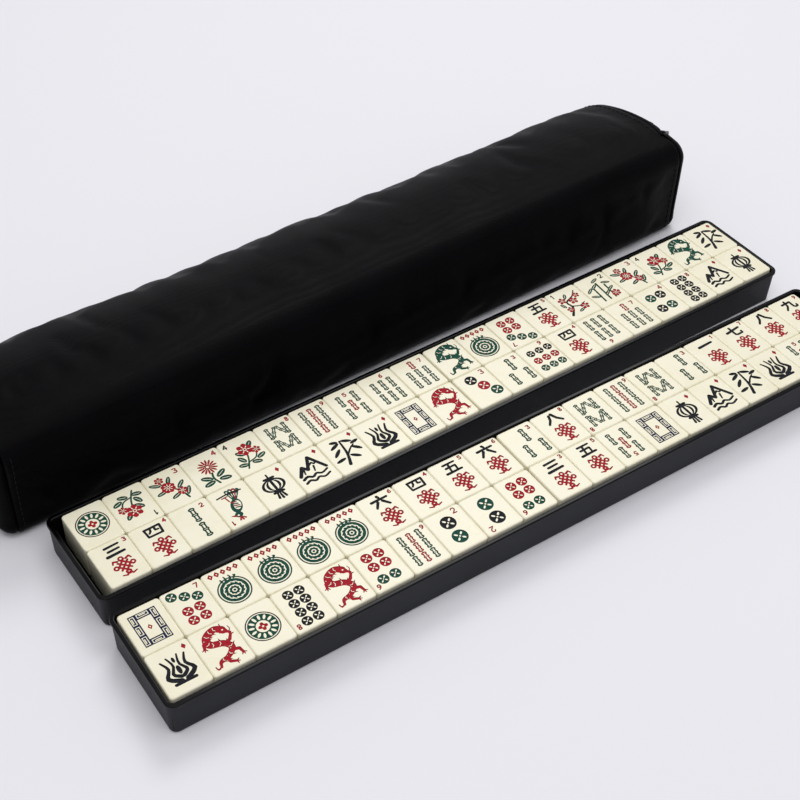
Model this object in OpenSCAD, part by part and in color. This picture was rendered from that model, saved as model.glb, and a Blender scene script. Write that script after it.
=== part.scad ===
// Soft zipped case, with two moulded trays of game tiles laid out in front of it.
// Millimetres, Z up. X runs along the case and Y towards its back. The origin is the
// middle of the case's underside, on the surface that the whole set stands on.

/* [Case] */
// Length of the case over both padded ends
case_l = 503; // [500:1:560]
// Depth of the case from front to back
case_d = 104; // [100:1:130]
// Height of the case at the top of its crown
case_h = 70; // [66:1:80]
// Thickness of the padded skin of the wrap
wrap_t = 5.5; // [4:0.1:6]
// Thickness of each padded end panel, which is also the radius of its soft rim
end_t = 8; // [7:0.1:9]
// Thickness of the lining
lining_t = 1; // [0.6:0.1:1.5]
// Radius of the two edges along the underside
foot_r = 9; // [8.5:0.1:14]
// Radius of the edge between the front and the top
brow_r = 14; // [12:0.5:18]
// Radius of the low crown along the top
crown_r = 130; // [110:1:200]
// Radius of the rounded back
back_r = 36; // [30:1:40]
// Distance of the crown's highest line behind the front
crown_y = 31.5; // [28:0.5:40]
// Thickness of the stiff board on the floor of the case
board_t = 2; // [1:0.1:3]
// Space left round the stiff board
board_gap = 2; // [1:0.1:6]
// Radius of the board's corners
board_r = 8; // [2:0.5:12]

/* [Lid and zip] */
// Angle round the front edge, from level, at which the lid folds
fold_a = 70; // [60:1:80]
// Thickness of the band of cloth inside the fold
fold_strip_t = 0.8; // [0.5:0.1:1.5]
// How far that band reaches from the fold each way
fold_reach = 13; // [10:0.5:16]
// Height at which the zip crosses the back
zip_back_h = 27; // [22:0.5:30]
// Space between the padded edges, where the zip shows
zip_slot = 11; // [10:0.1:12]
// Distance of the zip's start from the fold
zip_start = 13; // [12:0.5:16]
// Depth of the zip's tape below the outer surface
tape_deep = 3.2; // [3:0.1:3.6]
// Thickness of the tape
tape_t = 0.8; // [0.6:0.1:1]
// Distance from one tooth to the next in a row
tooth_pitch = 4.5; // [4:0.1:6]
// Width of a tooth along the row
tooth_w = 2.3; // [1.6:0.1:2.6]
// Length of a tooth, from the bead to its head
tooth_l = 2.1; // [1.8:0.1:2.6]
// Thickness of a tooth across the tape
tooth_t = 2.4; // [2:0.1:2.6]
// Space between the heads of the two rows
row_gap = 0.7; // [0.6:0.05:1]
// Length of the slider
slider_l = 13; // [10:0.5:14]
// Width of the slider's plates
slider_w = 8.6; // [7.6:0.1:9]
// Thickness of each slider plate
slider_t = 1.1; // [0.8:0.1:1.3]
// Length of the pull tab
pull_l = 30; // [20:1:36]
// Width of the pull tab
pull_w = 7; // [5:0.5:8]
// Thickness of the pull tab
pull_t = 1.4; // [1:0.1:2]
// Radius of the pin that the pull tab swings on
pin_r = 0.9; // [0.6:0.05:1]
// Thickness of each of the slider's two ears
ear_t = 1.2; // [0.8:0.1:1.4]

/* [Trays] */
// Length of a tray over its lip
tray_l = 484.5; // [482:0.5:520]
// Depth of a tray over its lip
tray_d = 67.6; // [67:0.1:90]
// Height of a tray
tray_h = 24; // [20:0.5:30]
// Thickness of a tray's walls
tray_wall = 1.9; // [1.5:0.1:2.2]
// How far the walls draw in from under the lip to the foot
tray_draft = 0.6; // [0:0.1:1.2]
// How far the lip stands out from the wall
lip_out = 0.8; // [0.4:0.1:1.6]
// Height of the lip's edge
lip_h = 1.6; // [1:0.1:3]
// Radius of a tray's upright corners over the lip
tray_corner_r = 5.6; // [5:0.1:7]
// Radius of the edge round a tray's foot
tray_foot_r = 1.5; // [0.5:0.1:1.8]
// Height of the foot rim below a tray's floor
tray_foot_h = 2.3; // [1:0.1:4]
// Thickness of a tray's floor
tray_floor = 2.2; // [1.5:0.1:3]

/* [Tiles] */
// Width of a tile
tile_w = 23.5; // [20:0.1:23.6]
// Length of a tile
tile_l = 29.7; // [26:0.1:29.8]
// Thickness of a tile
tile_t = 20.5; // [12:0.1:22]
// Radius of a tile's edges
tile_r = 1.8; // [1.6:0.1:2.4]
// Space between neighbouring tiles
tile_gap = 0.1; // [0.05:0.01:0.15]
// Space between the near row of tiles and the tray's wall
tile_clear = 0.5; // [0.4:0.1:0.9]

/* [Places on the table] */
// How far the back tray's middle lies to the right of the case's middle
back_tray_x = 6.9; // [-20:0.1:20]
// Space between the case's front and the middle line of the back tray
back_tray_y = 53.5; // [40:0.1:120]
// Turn of the back tray
back_tray_turn = -1.2; // [-3:0.1:3]
// How far the front tray's middle lies to the right of the case's middle
front_tray_x = 2.8; // [-20:0.1:20]
// Distance from the middle line of the back tray to that of the front tray
front_tray_y = 80.7; // [79:0.1:140]
// Turn of the front tray
front_tray_turn = -2.3; // [-3:0.1:0]
// Space left of the tiles in the back tray
back_free = 5; // [0.3:0.1:5]
// Space left of the tiles in the front tray
front_free = 0.3; // [0.3:0.1:5]
// Space between the two halves of each row in the back tray
back_part = 0.7; // [0.1:0.1:1]
// Space between the two halves of each row in the front tray
front_part = 0.9; // [0.1:0.1:1]

/* [Hidden] */

// Smoothness of round edges
$fn = 48;
// Sides of a quarter turn in the padded outline
soft_steps = 8;
// Steps round the rim of a padded end, and the thickness of one slice
rim_steps = 5;
slice = 0.01;
// A length well past the part, for cuts
far = 2 * case_l;
// Clearance between pieces that part when the lid opens
seam = 0.3;
// Clearance of the slider round the teeth
slider_gap = 0.35;
// Thickness of the post that joins the slider's plates
post_t = row_gap - 0.3;

// Centres of the arcs that make up the padded outline
front_y = -case_d / 2;
crown_c = [front_y + crown_y, case_h - crown_r];
brow_c = [
    front_y + brow_r,
    crown_c[1] + sqrt(pow(crown_r - brow_r, 2) - pow(front_y + brow_r - crown_c[0], 2))
];
back_c = [
    -front_y - back_r,
    crown_c[1] + sqrt(pow(crown_r - back_r, 2) - pow(-front_y - back_r - crown_c[0], 2))
];
brow_end_a = atan2(brow_c[1] - crown_c[1], brow_c[0] - crown_c[0]);
crown_end_a = atan2(back_c[1] - crown_c[1], back_c[0] - crown_c[0]);

// The lid folds at this line, and the zip lies in a plane that falls from it to the back
fold_y = brow_c[0] - brow_r * cos(fold_a);
fold_z = brow_c[1] + brow_r * sin(fold_a);
zip_tilt = atan2(fold_z - zip_back_h, -front_y - fold_y);
zip_run = (-front_y - fold_y) / cos(zip_tilt);

// Half the length between the two seams of the wrap
wrap_half = case_l / 2 - end_t;
inside = wrap_t + lining_t;

// Middle line of the tape, seen square to the zip's plane
tape_x = case_l / 2 - tape_deep;
tape_y = zip_run - tape_deep;
tape_corner = end_t - tape_deep;
side_run = tape_y - tape_corner - zip_start;
back_run = 2 * (tape_x - tape_corner);
corner_run = PI * tape_corner / 2;
tape_run = 2 * side_run + 2 * corner_run + back_run;
// The slider rests past the end of the lid's row, on the base's tape alone
slider_y = zip_start + slider_l / 2 + 1;
lid_row_right = slider_l + 3;
// The lid's row starts far enough from the base's corner on the left to swing clear of it
lid_row_left = sqrt(pow(zip_start, 2) + pow(zip_slot / 2, 2)) - zip_start + seam;

tile_pitch_x = tile_w + tile_gap;
tile_pitch_y = tile_l + tile_gap;
// Each row is filled from its two halves with as many tiles as the tray has room for
tray_room = tray_l - 2 * (lip_out + tray_draft + tray_wall);
row_free = max(back_free + back_part, front_free + front_part);
half_row = floor((tray_room - row_free) / (2 * tile_pitch_x));
tray_inner_r = tray_corner_r - lip_out - tray_draft - tray_wall;
tray_floor_z = tray_foot_h + tray_floor;
half_l = tray_l / 2 - tray_corner_r;
half_d = tray_d / 2 - tray_corner_r;
tile_start_x = -tray_l / 2 + lip_out + tray_draft + tray_wall;
tile_start_y = -tray_d / 2 + lip_out + tray_draft + tray_wall + tile_clear;

skin = [0.03, 0.03, 0.035];
lining_grey = [0.1, 0.1, 0.11];
tray_black = [0.06, 0.06, 0.065];
ivory = [0.95, 0.92, 0.83];
zip_metal = [0.2, 0.2, 0.21];

// Points along an arc from angle a0 to angle a1
function arc(c, r, a0, a1, n) = [
    for (i = [0 : n]) let (a = a0 + (a1 - a0) * i / n) c + r * [cos(a), sin(a)]
];

// Outline of the padded body in the Y-Z plane, drawn in by a distance
function outline(in) = concat(
    arc([front_y + foot_r, foot_r], foot_r - in, 270, 180, soft_steps),
    arc(brow_c, brow_r - in, 180, brow_end_a, soft_steps),
    arc(crown_c, crown_r - in, brow_end_a, crown_end_a, soft_steps),
    arc(back_c, back_r - in, crown_end_a, 0, soft_steps),
    arc([-front_y - foot_r, foot_r], foot_r - in, 0, -90, soft_steps)
);

// The padded outline as a solid along X
module along(in, half) {
    rotate([90, 0, 90])
        translate([0, 0, -half])
            linear_extrude(2 * half) polygon(outline(in));
}

// A frame whose Y runs down the zip's plane from the fold, with Z square to it
module zip_frame() {
    translate([0, fold_y, fold_z]) rotate([-zip_tilt, 0, 0]) children();
}

// Everything above the zip's plane by more than a height
module over(height) {
    zip_frame() translate([-far / 2, -far / 2, height]) cube(far);
}

// The band in which the zip lies: through both padded ends and all along the back
module zip_band() {
    zip_frame() {
        for (side = [0, 1])
            mirror([side, 0, 0])
                translate([wrap_half, zip_start, -zip_slot / 2]) cube([far, far, zip_slot]);
        translate([-far / 2, zip_run - 2 * inside, -zip_slot / 2]) cube([far, far, zip_slot]);
    }
}

module lid_part() {
    difference() {
        intersection() {
            children();
            over(seam / 2);
        }
        zip_band();
    }
}

module base_part() {
    difference() {
        children();
        over(-seam / 2);
        zip_band();
    }
}

// The lid's half of a padded end lies all above the zip
module lid_end_part() {
    intersection() {
        children();
        over(zip_slot / 2);
    }
}

// The base's half of a padded end has a corner beside the fold, where the zip starts; it
// stands clear of the lid's wrap
module base_end_part(side) {
    difference() {
        children();
        over(zip_slot / 2 - seam);
        zip_band();
        intersection() {
            over(-seam / 2);
            translate([side * (wrap_half + seam / 2), 0, 0]) cube([seam, far, far], center = true);
        }
    }
}

// The padded sheet that wraps round the front, underside, back and top
module wrap_sheet() {
    difference() {
        along(0, wrap_half);
        along(wrap_t, far);
    }
}

// One padded end with its soft rim; side is 1 on the right and -1 on the left
module padded_end(side) {
    hull()
        for (i = [0 : rim_steps])
            let (a = 90 * i / rim_steps)
                translate([side * (wrap_half + slice / 2 + (end_t - slice) * sin(a)), 0, 0])
                    rotate([90, 0, 90])
                        linear_extrude(slice, center = true) polygon(outline(end_t * (1 - cos(a))));
}

module lining_shell() {
    difference() {
        along(wrap_t, wrap_half);
        along(inside, wrap_half - lining_t);
    }
}

module base_wrap() {
    color(skin) base_part() wrap_sheet();
}

module base_end_left() {
    color(skin) base_end_part(-1) padded_end(-1);
}

module base_end_right() {
    color(skin) base_end_part(1) padded_end(1);
}

module base_lining() {
    color(lining_grey) base_part() lining_shell();
}

module base_board() {
    board_l = 2 * (wrap_half - lining_t - board_gap);
    board_d = case_d - 2 * (foot_r + board_gap);
    color(lining_grey)
        translate([0, 0, inside]) linear_extrude(board_t) rounded_area(board_l, board_d, board_r);
}

// A band of cloth inside the fold, from the base's front to the lid
module fold_strip() {
    strip_l = 2 * (wrap_half - lining_t - board_gap);
    color(lining_grey)
        intersection() {
            difference() {
                along(inside + seam, strip_l / 2);
                along(inside + seam + fold_strip_t, far);
            }
            translate([-far / 2, fold_y + inside / 2, fold_z - inside])
                rotate([0, 90, 0]) cylinder(h = far, r = fold_reach);
        }
}

module lid_wrap() {
    color(skin) lid_part() wrap_sheet();
}

module lid_end_left() {
    color(skin) lid_end_part() padded_end(-1);
}

module lid_end_right() {
    color(skin) lid_end_part() padded_end(1);
}

module lid_lining() {
    color(lining_grey) lid_part() lining_shell();
}

// A rectangle with its two far corners rounded, open towards the fold
module tape_area(grow) {
    r = tape_corner + grow;
    for (side = [-1, 1])
        translate([side * (tape_x - tape_corner), tape_y - tape_corner]) circle(r);
    translate([-tape_x - grow, zip_start]) square([2 * (tape_x + grow), side_run]);
    translate([-tape_x + tape_corner, zip_start])
        square([back_run, tape_y + grow - zip_start]);
}

// A strip of a thickness along the tape's line, seen square to the zip's plane
module tape_line(thick) {
    difference() {
        tape_area(thick / 2);
        tape_area(-thick / 2);
        translate([-tape_x + thick / 2, zip_start - 1]) square([2 * tape_x - thick, side_run + 1]);
    }
}

// Where the tape's line is, at a distance from its left end: [x, y, turn]
function on_tape(s) =
    s < side_run
        ? [-tape_x, zip_start + s, 90]
    : s < side_run + corner_run
        ? let (a = 180 - 90 * (s - side_run) / corner_run)
          [-tape_x + tape_corner + tape_corner * cos(a),
           tape_y - tape_corner + tape_corner * sin(a), a - 90]
    : s < side_run + corner_run + back_run
        ? [-tape_x + tape_corner + s - side_run - corner_run, tape_y, 0]
    : s < side_run + 2 * corner_run + back_run
        ? let (a = 90 - 90 * (s - side_run - corner_run - back_run) / corner_run)
          [tape_x - tape_corner + tape_corner * cos(a),
           tape_y - tape_corner + tape_corner * sin(a), a - 90]
    : [tape_x, zip_start + tape_run - s, -90];

// A row of teeth on its bead, pointing up from height zero; the teeth start and end at
// these distances along the tape
module tooth_row(from, to) {
    count = floor((to - from - tooth_w) / tooth_pitch);
    linear_extrude(tooth_l)
        for (i = [0 : count])
            let (p = on_tape(from + tooth_w / 2 + i * tooth_pitch))
                translate([p[0], p[1]]) rotate(p[2]) square([tooth_w, tooth_t], center = true);
}

// The tape's line at a thickness, cut short by a length at its left and right ends
module cut_tape_line(thick, left, right) {
    difference() {
        tape_line(thick);
        translate([-case_l, zip_start - 1]) square([case_l, left + 1]);
        translate([0, zip_start - 1]) square([case_l, right + 1]);
    }
}

// The bead that the teeth are moulded on
module bead(left, right) {
    linear_extrude(tooth_l * 0.4) cut_tape_line(tape_t + 0.8, left, right);
}

module tape_strip(left, right) {
    tape_h = (zip_slot - row_gap) / 2 - tooth_l;
    linear_extrude(tape_h) cut_tape_line(tape_t, left, right);
}

module zip_tape_base() {
    color(skin) zip_frame() translate([0, 0, -zip_slot / 2]) tape_strip(0, 0);
}

module zip_teeth_base() {
    color(zip_metal)
        zip_frame()
            translate([0, 0, -row_gap / 2 - tooth_l]) {
                bead(0, 0);
                tooth_row(0, tape_run);
            }
}

module zip_tape_lid() {
    color(skin)
        zip_frame()
            mirror([0, 0, 1])
                translate([0, 0, -zip_slot / 2]) tape_strip(lid_row_left, lid_row_right);
}

module zip_teeth_lid() {
    color(zip_metal)
        zip_frame()
            mirror([0, 0, 1])
                translate([0, 0, -row_gap / 2 - tooth_l]) {
                    bead(lid_row_left, lid_row_right);
                    tooth_row(max(tooth_pitch / 2, lid_row_left), tape_run - lid_row_right);
                }
}

// Outline of a slider plate: a blunt nose towards the fold and a narrower tail
module slider_plate_outline() {
    nose = slider_w / 2;
    tail = slider_w * 0.38;
    polygon(concat(
        arc([-slider_l / 2 + 2, nose - 2], 2, 180, 90, 6),
        [[slider_l * 0.1, nose]],
        arc([slider_l / 2 - 1, tail - 1], 1, 60, 0, 4),
        arc([slider_l / 2 - 1, 1 - tail], 1, 0, -60, 4),
        [[slider_l * 0.1, -nose]],
        arc([-slider_l / 2 + 2, 2 - nose], 2, -90, -180, 6)
    ));
}

// The slider's own frame: X along the run away from the fold, Y up across the rows and
// Z out of the case's right end
module slider_frame() {
    zip_frame() translate([tape_x, slider_y, 0]) rotate([90, 0, 90]) children();
}

// The ears stand clear of the plate's edges, and the tab's eye clear of plate and ears
plate_in = tooth_t / 2 + slider_gap;
eye_r = pin_r + 0.7;
ear_r = pin_r + 1;
ear_out = slider_w / 2 - 1.6;
eye_w = 2 * (ear_out - ear_t - 0.2);
bail_z = plate_in + slider_t + eye_r + 0.2;
bail_x = -slider_l / 2 + ear_r + 1.3;

module zip_slider() {
    color(zip_metal)
        slider_frame() {
            for (side = [0, 1])
                mirror([0, 0, side])
                    translate([0, 0, plate_in]) linear_extrude(slider_t) slider_plate_outline();
            translate([-slider_l / 2 + 0.6, -post_t / 2, -plate_in - slider_t / 2])
                cube([3, post_t, 2 * plate_in + slider_t]);
            for (side = [-1, 1])
                translate([bail_x, side * (ear_out - ear_t / 2), 0])
                    difference() {
                        union() {
                            translate([0, 0, bail_z])
                                rotate([90, 0, 0]) cylinder(h = ear_t, r = ear_r, center = true);
                            translate([-ear_r, -ear_t / 2, plate_in + slider_t / 2])
                                cube([2 * ear_r, ear_t, bail_z - plate_in - slider_t / 2]);
                        }
                        translate([0, 0, bail_z])
                            rotate([90, 0, 0])
                                cylinder(h = 2 * ear_t, r = pin_r + 0.05, center = true);
                    }
        }
}

// The tab swings on a cross pin held between the slider's two ears
module zip_pull() {
    color(zip_metal)
        slider_frame()
            translate([bail_x, 0, bail_z]) {
                rotate([90, 0, 0]) cylinder(h = 2 * ear_out - 0.1, r = pin_r, center = true);
                rotate([90, 0, 0]) cylinder(h = eye_w, r = eye_r, center = true);
                translate([0, -eye_w / 2, -pull_t / 2]) cube([slider_l * 0.55, eye_w, pull_t]);
                translate([slider_l * 0.5, 0, -pull_t / 2])
                    linear_extrude(pull_t)
                        difference() {
                            union() {
                                translate([pull_w / 2, -pull_w / 2])
                                    square([pull_l - pull_w, pull_w]);
                                translate([pull_w / 2, 0]) circle(pull_w / 2);
                                translate([pull_l - pull_w / 2, 0]) circle(pull_w / 2);
                            }
                            translate([pull_l - pull_w / 2 - 0.5, 0]) circle(pull_w / 4);
                        }
            }
}

// Cut through a tray's wall: X is the distance out from the centre of a rounded corner
function wall_outline() =
    let (
        r = tray_corner_r,
        out = r - lip_out,
        foot = out - tray_draft,
        top_in = out - tray_wall,
        fillet = 1.4,
        lip_r = lip_h * 0.4
    )
    concat(
        [[tray_inner_r, 0]],
        arc([foot - tray_foot_r, tray_foot_r], tray_foot_r, -90, 0, 5),
        [[out, tray_h - lip_h - 0.4]],
        [[r, tray_h - lip_h]],
        arc([r - lip_r, tray_h - lip_r], lip_r, 0, 90, 5),
        arc([top_in + lip_r, tray_h - lip_r], lip_r, 90, 180, 4),
        arc([tray_inner_r + fillet, tray_floor_z + fillet], fillet, 180, 270, 5),
        [[tray_inner_r, tray_floor_z]]
    );

// The walls of a tray, with its middle at the origin and its foot on the surface
module tray_walls() {
    color(tray_black) {
        for (sx = [0, 1], sy = [0, 1])
            mirror([sx, 0, 0]) mirror([0, sy, 0])
                translate([half_l, half_d, 0])
                    rotate_extrude(angle = 90) polygon(wall_outline());
        for (s = [0, 180])
            rotate([0, 0, s]) {
                translate([half_l, 0, 0])
                    rotate([90, 0, 0])
                        linear_extrude(2 * half_d, center = true) polygon(wall_outline());
                translate([0, half_d, 0])
                    rotate([90, 0, 90])
                        linear_extrude(2 * half_l, center = true) polygon(wall_outline());
            }
    }
}

// The floor panel that closes a tray, raised on the foot of the walls
module tray_panel() {
    color(tray_black)
        translate([0, 0, tray_foot_h])
            linear_extrude(tray_floor)
                rounded_area(2 * (half_l + tray_inner_r), 2 * (half_d + tray_inner_r),
                             tray_inner_r);
}

// A rectangle with round corners, centred on the origin
module rounded_area(w, d, r) {
    square([w - 2 * r, d], center = true);
    square([w, d - 2 * r], center = true);
    for (sx = [-1, 1], sy = [-1, 1])
        translate([sx * (w / 2 - r), sy * (d / 2 - r)]) circle(r);
}

module in_back_tray() {
    translate([back_tray_x, front_y - back_tray_y, 0]) rotate([0, 0, back_tray_turn]) children();
}

module in_front_tray() {
    translate([front_tray_x, front_y - back_tray_y - front_tray_y, 0])
        rotate([0, 0, front_tray_turn]) children();
}

module tray_back() {
    in_back_tray() tray_walls();
}

module tray_back_floor() {
    in_back_tray() tray_panel();
}

module tray_front() {
    in_front_tray() tray_walls();
}

module tray_front_floor() {
    in_front_tray() tray_panel();
}

// One tile, standing on its back with its middle above the origin
module tile() {
    mid = tile_t / 2;
    intersection() {
        linear_extrude(tile_t) rounded_area(tile_w, tile_l, tile_r);
        translate([0, 0, mid])
            rotate([90, 0, 0])
                linear_extrude(tile_l, center = true) rounded_area(tile_w, tile_t, tile_r);
        translate([0, 0, mid])
            rotate([90, 0, 90])
                linear_extrude(tile_w, center = true) rounded_area(tile_l, tile_t, tile_r);
    }
}

// Half a row of tiles: row is 0 at the front and 1 at the back, half is 0 on the left
module half_row_of_tiles(row, half, free, part) {
    color(ivory)
        for (i = [0 : half_row - 1])
            translate([
                tile_start_x + free + (half * half_row + i + 0.5) * tile_pitch_x + half * part,
                tile_start_y + (row + 0.5) * tile_pitch_y,
                tray_floor_z
            ])
                tile();
}

module tiles_back_rear_left() {
    in_back_tray() half_row_of_tiles(1, 0, back_free, back_part);
}

module tiles_back_rear_right() {
    in_back_tray() half_row_of_tiles(1, 1, back_free, back_part);
}

module tiles_back_near_left() {
    in_back_tray() half_row_of_tiles(0, 0, back_free, back_part);
}

module tiles_back_near_right() {
    in_back_tray() half_row_of_tiles(0, 1, back_free, back_part);
}

module tiles_front_rear_left() {
    in_front_tray() half_row_of_tiles(1, 0, front_free, front_part);
}

module tiles_front_rear_right() {
    in_front_tray() half_row_of_tiles(1, 1, front_free, front_part);
}

module tiles_front_near_left() {
    in_front_tray() half_row_of_tiles(0, 0, front_free, front_part);
}

module tiles_front_near_right() {
    in_front_tray() half_row_of_tiles(0, 1, front_free, front_part);
}

base_wrap();
base_end_left();
base_end_right();
base_lining();
base_board();
fold_strip();
zip_tape_base();
zip_teeth_base();
zip_slider();
zip_pull();
lid_wrap();
lid_end_left();
lid_end_right();
lid_lining();
zip_tape_lid();
zip_teeth_lid();
tray_back();
tray_back_floor();
tray_front();
tray_front_floor();
tiles_back_rear_left();
tiles_back_rear_right();
tiles_back_near_left();
tiles_back_near_right();
tiles_front_rear_left();
tiles_front_rear_right();
tiles_front_near_left();
tiles_front_near_right();
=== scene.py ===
import math

import bmesh
import bpy
import numpy as np
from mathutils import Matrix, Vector
from mathutils.geometry import delaunay_2d_cdt


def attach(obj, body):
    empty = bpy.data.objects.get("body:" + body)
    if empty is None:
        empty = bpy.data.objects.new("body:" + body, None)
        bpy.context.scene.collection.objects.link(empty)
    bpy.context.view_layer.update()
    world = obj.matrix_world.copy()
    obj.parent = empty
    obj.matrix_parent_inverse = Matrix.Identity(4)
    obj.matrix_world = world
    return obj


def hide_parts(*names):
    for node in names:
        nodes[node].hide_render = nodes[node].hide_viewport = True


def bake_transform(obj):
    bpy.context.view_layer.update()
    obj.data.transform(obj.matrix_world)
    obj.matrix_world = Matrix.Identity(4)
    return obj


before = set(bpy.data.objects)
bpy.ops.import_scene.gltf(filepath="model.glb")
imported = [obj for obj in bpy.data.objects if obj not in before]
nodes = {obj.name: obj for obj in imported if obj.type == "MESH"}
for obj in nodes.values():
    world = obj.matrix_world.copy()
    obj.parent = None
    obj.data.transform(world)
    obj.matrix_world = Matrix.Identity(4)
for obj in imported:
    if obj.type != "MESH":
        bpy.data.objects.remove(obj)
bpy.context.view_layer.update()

# Sizes in millimetres, as the solids have them
MM = 0.001
CASE_L, CASE_D, CASE_H = 503.0, 104.0, 70.0
WRAP_T, END_T, LINING_T = 5.5, 8.0, 1.0
FOOT_R, BROW_R, CROWN_R, BACK_R = 9.0, 14.0, 130.0, 36.0
CROWN_Y, FOLD_A, ZIP_BACK_H = 31.5, 70.0, 27.0
SLOT, ZIP_START, TAPE_DEEP, TAPE_T = 11.0, 13.0, 3.2, 0.8
TOOTH_L, ROW_GAP = 2.1, 0.7
LID_ROW_LEFT, LID_ROW_RIGHT = 1.42, 16.0
TRAY_L, TRAY_D, TRAY_H = 484.5, 67.6, 24.0
TRAY_EDGE = 0.8 + 0.6 + 1.9
TILE_W, TILE_L, TILE_T, TILE_GAP = 23.5, 29.7, 20.5, 0.1
TILE_FLOOR, TILE_CLEAR, HALF_ROW = 4.5, 0.5, 10
BACK_TRAY = dict(x=6.9, y=-105.5, turn=-1.2, free=5.0, part=0.7)
FRONT_TRAY = dict(x=2.8, y=-186.2, turn=-2.3, free=0.3, part=0.9)

HALF = CASE_L / 2 - END_T
FRONT = -CASE_D / 2


def rgb(r, g, b):
    """A colour as it looks on a screen, from 0 to 255, as the linear colour of a shader."""
    return tuple((c / 255 / 12.92) if c < 10.3 else ((c / 255 + 0.055) / 1.055) ** 2.4
                 for c in (r, g, b)) + (1.0,)


# Camera, lamps and floor
def place_camera():
    data = bpy.data.cameras.new("camera")
    data.lens = 66.16
    data.sensor_width = 36
    data.clip_start = 0.01
    camera = bpy.data.objects.new("camera", data)
    bpy.context.scene.collection.objects.link(camera)
    camera.location = (-0.40039, -0.59032, 0.61573)
    camera.rotation_euler = [math.radians(a) for a in (46.1762, -1.3631, -36.2664)]
    bpy.context.scene.camera = camera


def area_lamp(name, place, target, size, watts, colour=(1, 1, 1)):
    data = bpy.data.lights.new(name, "AREA")
    data.shape = "RECTANGLE"
    data.size, data.size_y = size
    data.energy = watts
    data.color = colour
    lamp = bpy.data.objects.new(name, data)
    bpy.context.scene.collection.objects.link(lamp)
    lamp.location = place
    lamp.rotation_euler = (Vector(target) - Vector(place)).to_track_quat("-Z", "Y").to_euler()


BACKDROP = rgb(236, 236, 241)


def seen_directly(tree):
    """1 for what the camera sees, straight or in gloss and glass, and 0 for light on the object."""
    path = tree.nodes.new("ShaderNodeLightPath")
    rays = path.outputs["Is Camera Ray"]
    for word in ("Is Glossy Ray", "Is Transmission Ray"):
        most = tree.nodes.new("ShaderNodeMath")
        most.operation = "MAXIMUM"
        tree.links.new(rays, most.inputs[0])
        tree.links.new(path.outputs[word], most.inputs[1])
        rays = most.outputs[0]
    return rays


def light_scene():
    area_lamp("key_lamp", (0.88, 0.92, 1.75), (0.0, -0.1, 0.0), (0.9, 0.9), 14, (1.0, 0.99, 0.98))
    area_lamp("top_lamp", (-0.2, -0.5, 1.9), (-0.1, -0.2, 0.0), (1.8, 1.8), 18.5, (0.99, 0.99, 1.0))
    world = bpy.data.worlds.new("studio")
    bpy.context.scene.world = world
    world.use_nodes = True
    tree = world.node_tree
    lit = next(n for n in tree.nodes if n.type == "BACKGROUND")
    out = next(n for n in tree.nodes if n.type == "OUTPUT_WORLD")
    lit.inputs["Color"].default_value = (0.985, 0.98, 1.0, 1)
    lit.inputs["Strength"].default_value = 0.38
    shown = tree.nodes.new("ShaderNodeBackground")
    shown.inputs["Color"].default_value = BACKDROP
    mix = tree.nodes.new("ShaderNodeMixShader")
    tree.links.new(seen_directly(tree), mix.inputs[0])
    tree.links.new(lit.outputs[0], mix.inputs[1])
    tree.links.new(shown.outputs[0], mix.inputs[2])
    tree.links.new(mix.outputs[0], out.inputs["Surface"])


# Between these distances in metres the floor fades into the backdrop
FADE = (0.75, 1.9)


def lay_floor():
    """A pale floor that keeps the shadows near the set and runs into the backdrop far out."""
    mesh = bpy.data.meshes.new("floor")
    edge = [(4 * math.cos(a), 4 * math.sin(a), 0) for a in np.linspace(0, 2 * math.pi, 65)[:-1]]
    mesh.from_pydata(edge, [], [tuple(range(64))])
    floor = bpy.data.objects.new("floor", mesh)
    bpy.context.scene.collection.objects.link(floor)
    m = Paint("floor_paint", rgb(239, 239, 244), rough=0.9, specular=0.2)
    far = m.node("ShaderNodeVectorMath", operation="LENGTH")
    m.link(m.place, far.inputs[0])
    reach = m.between(far.outputs["Value"], 0, 1, *FADE)
    glow = m.node("ShaderNodeEmission")
    glow.inputs["Color"].default_value = BACKDROP
    mix = m.node("ShaderNodeMixShader")
    m.link(m.math("MULTIPLY", reach, seen_directly(m.tree)), mix.inputs[0])
    m.link(m.shader.outputs[0], mix.inputs[1])
    m.link(glow.outputs[0], mix.inputs[2])
    out = next(n for n in m.tree.nodes if n.type == "OUTPUT_MATERIAL")
    m.link(mix.outputs[0], out.inputs["Surface"])
    mesh.materials.append(m.material)


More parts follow.
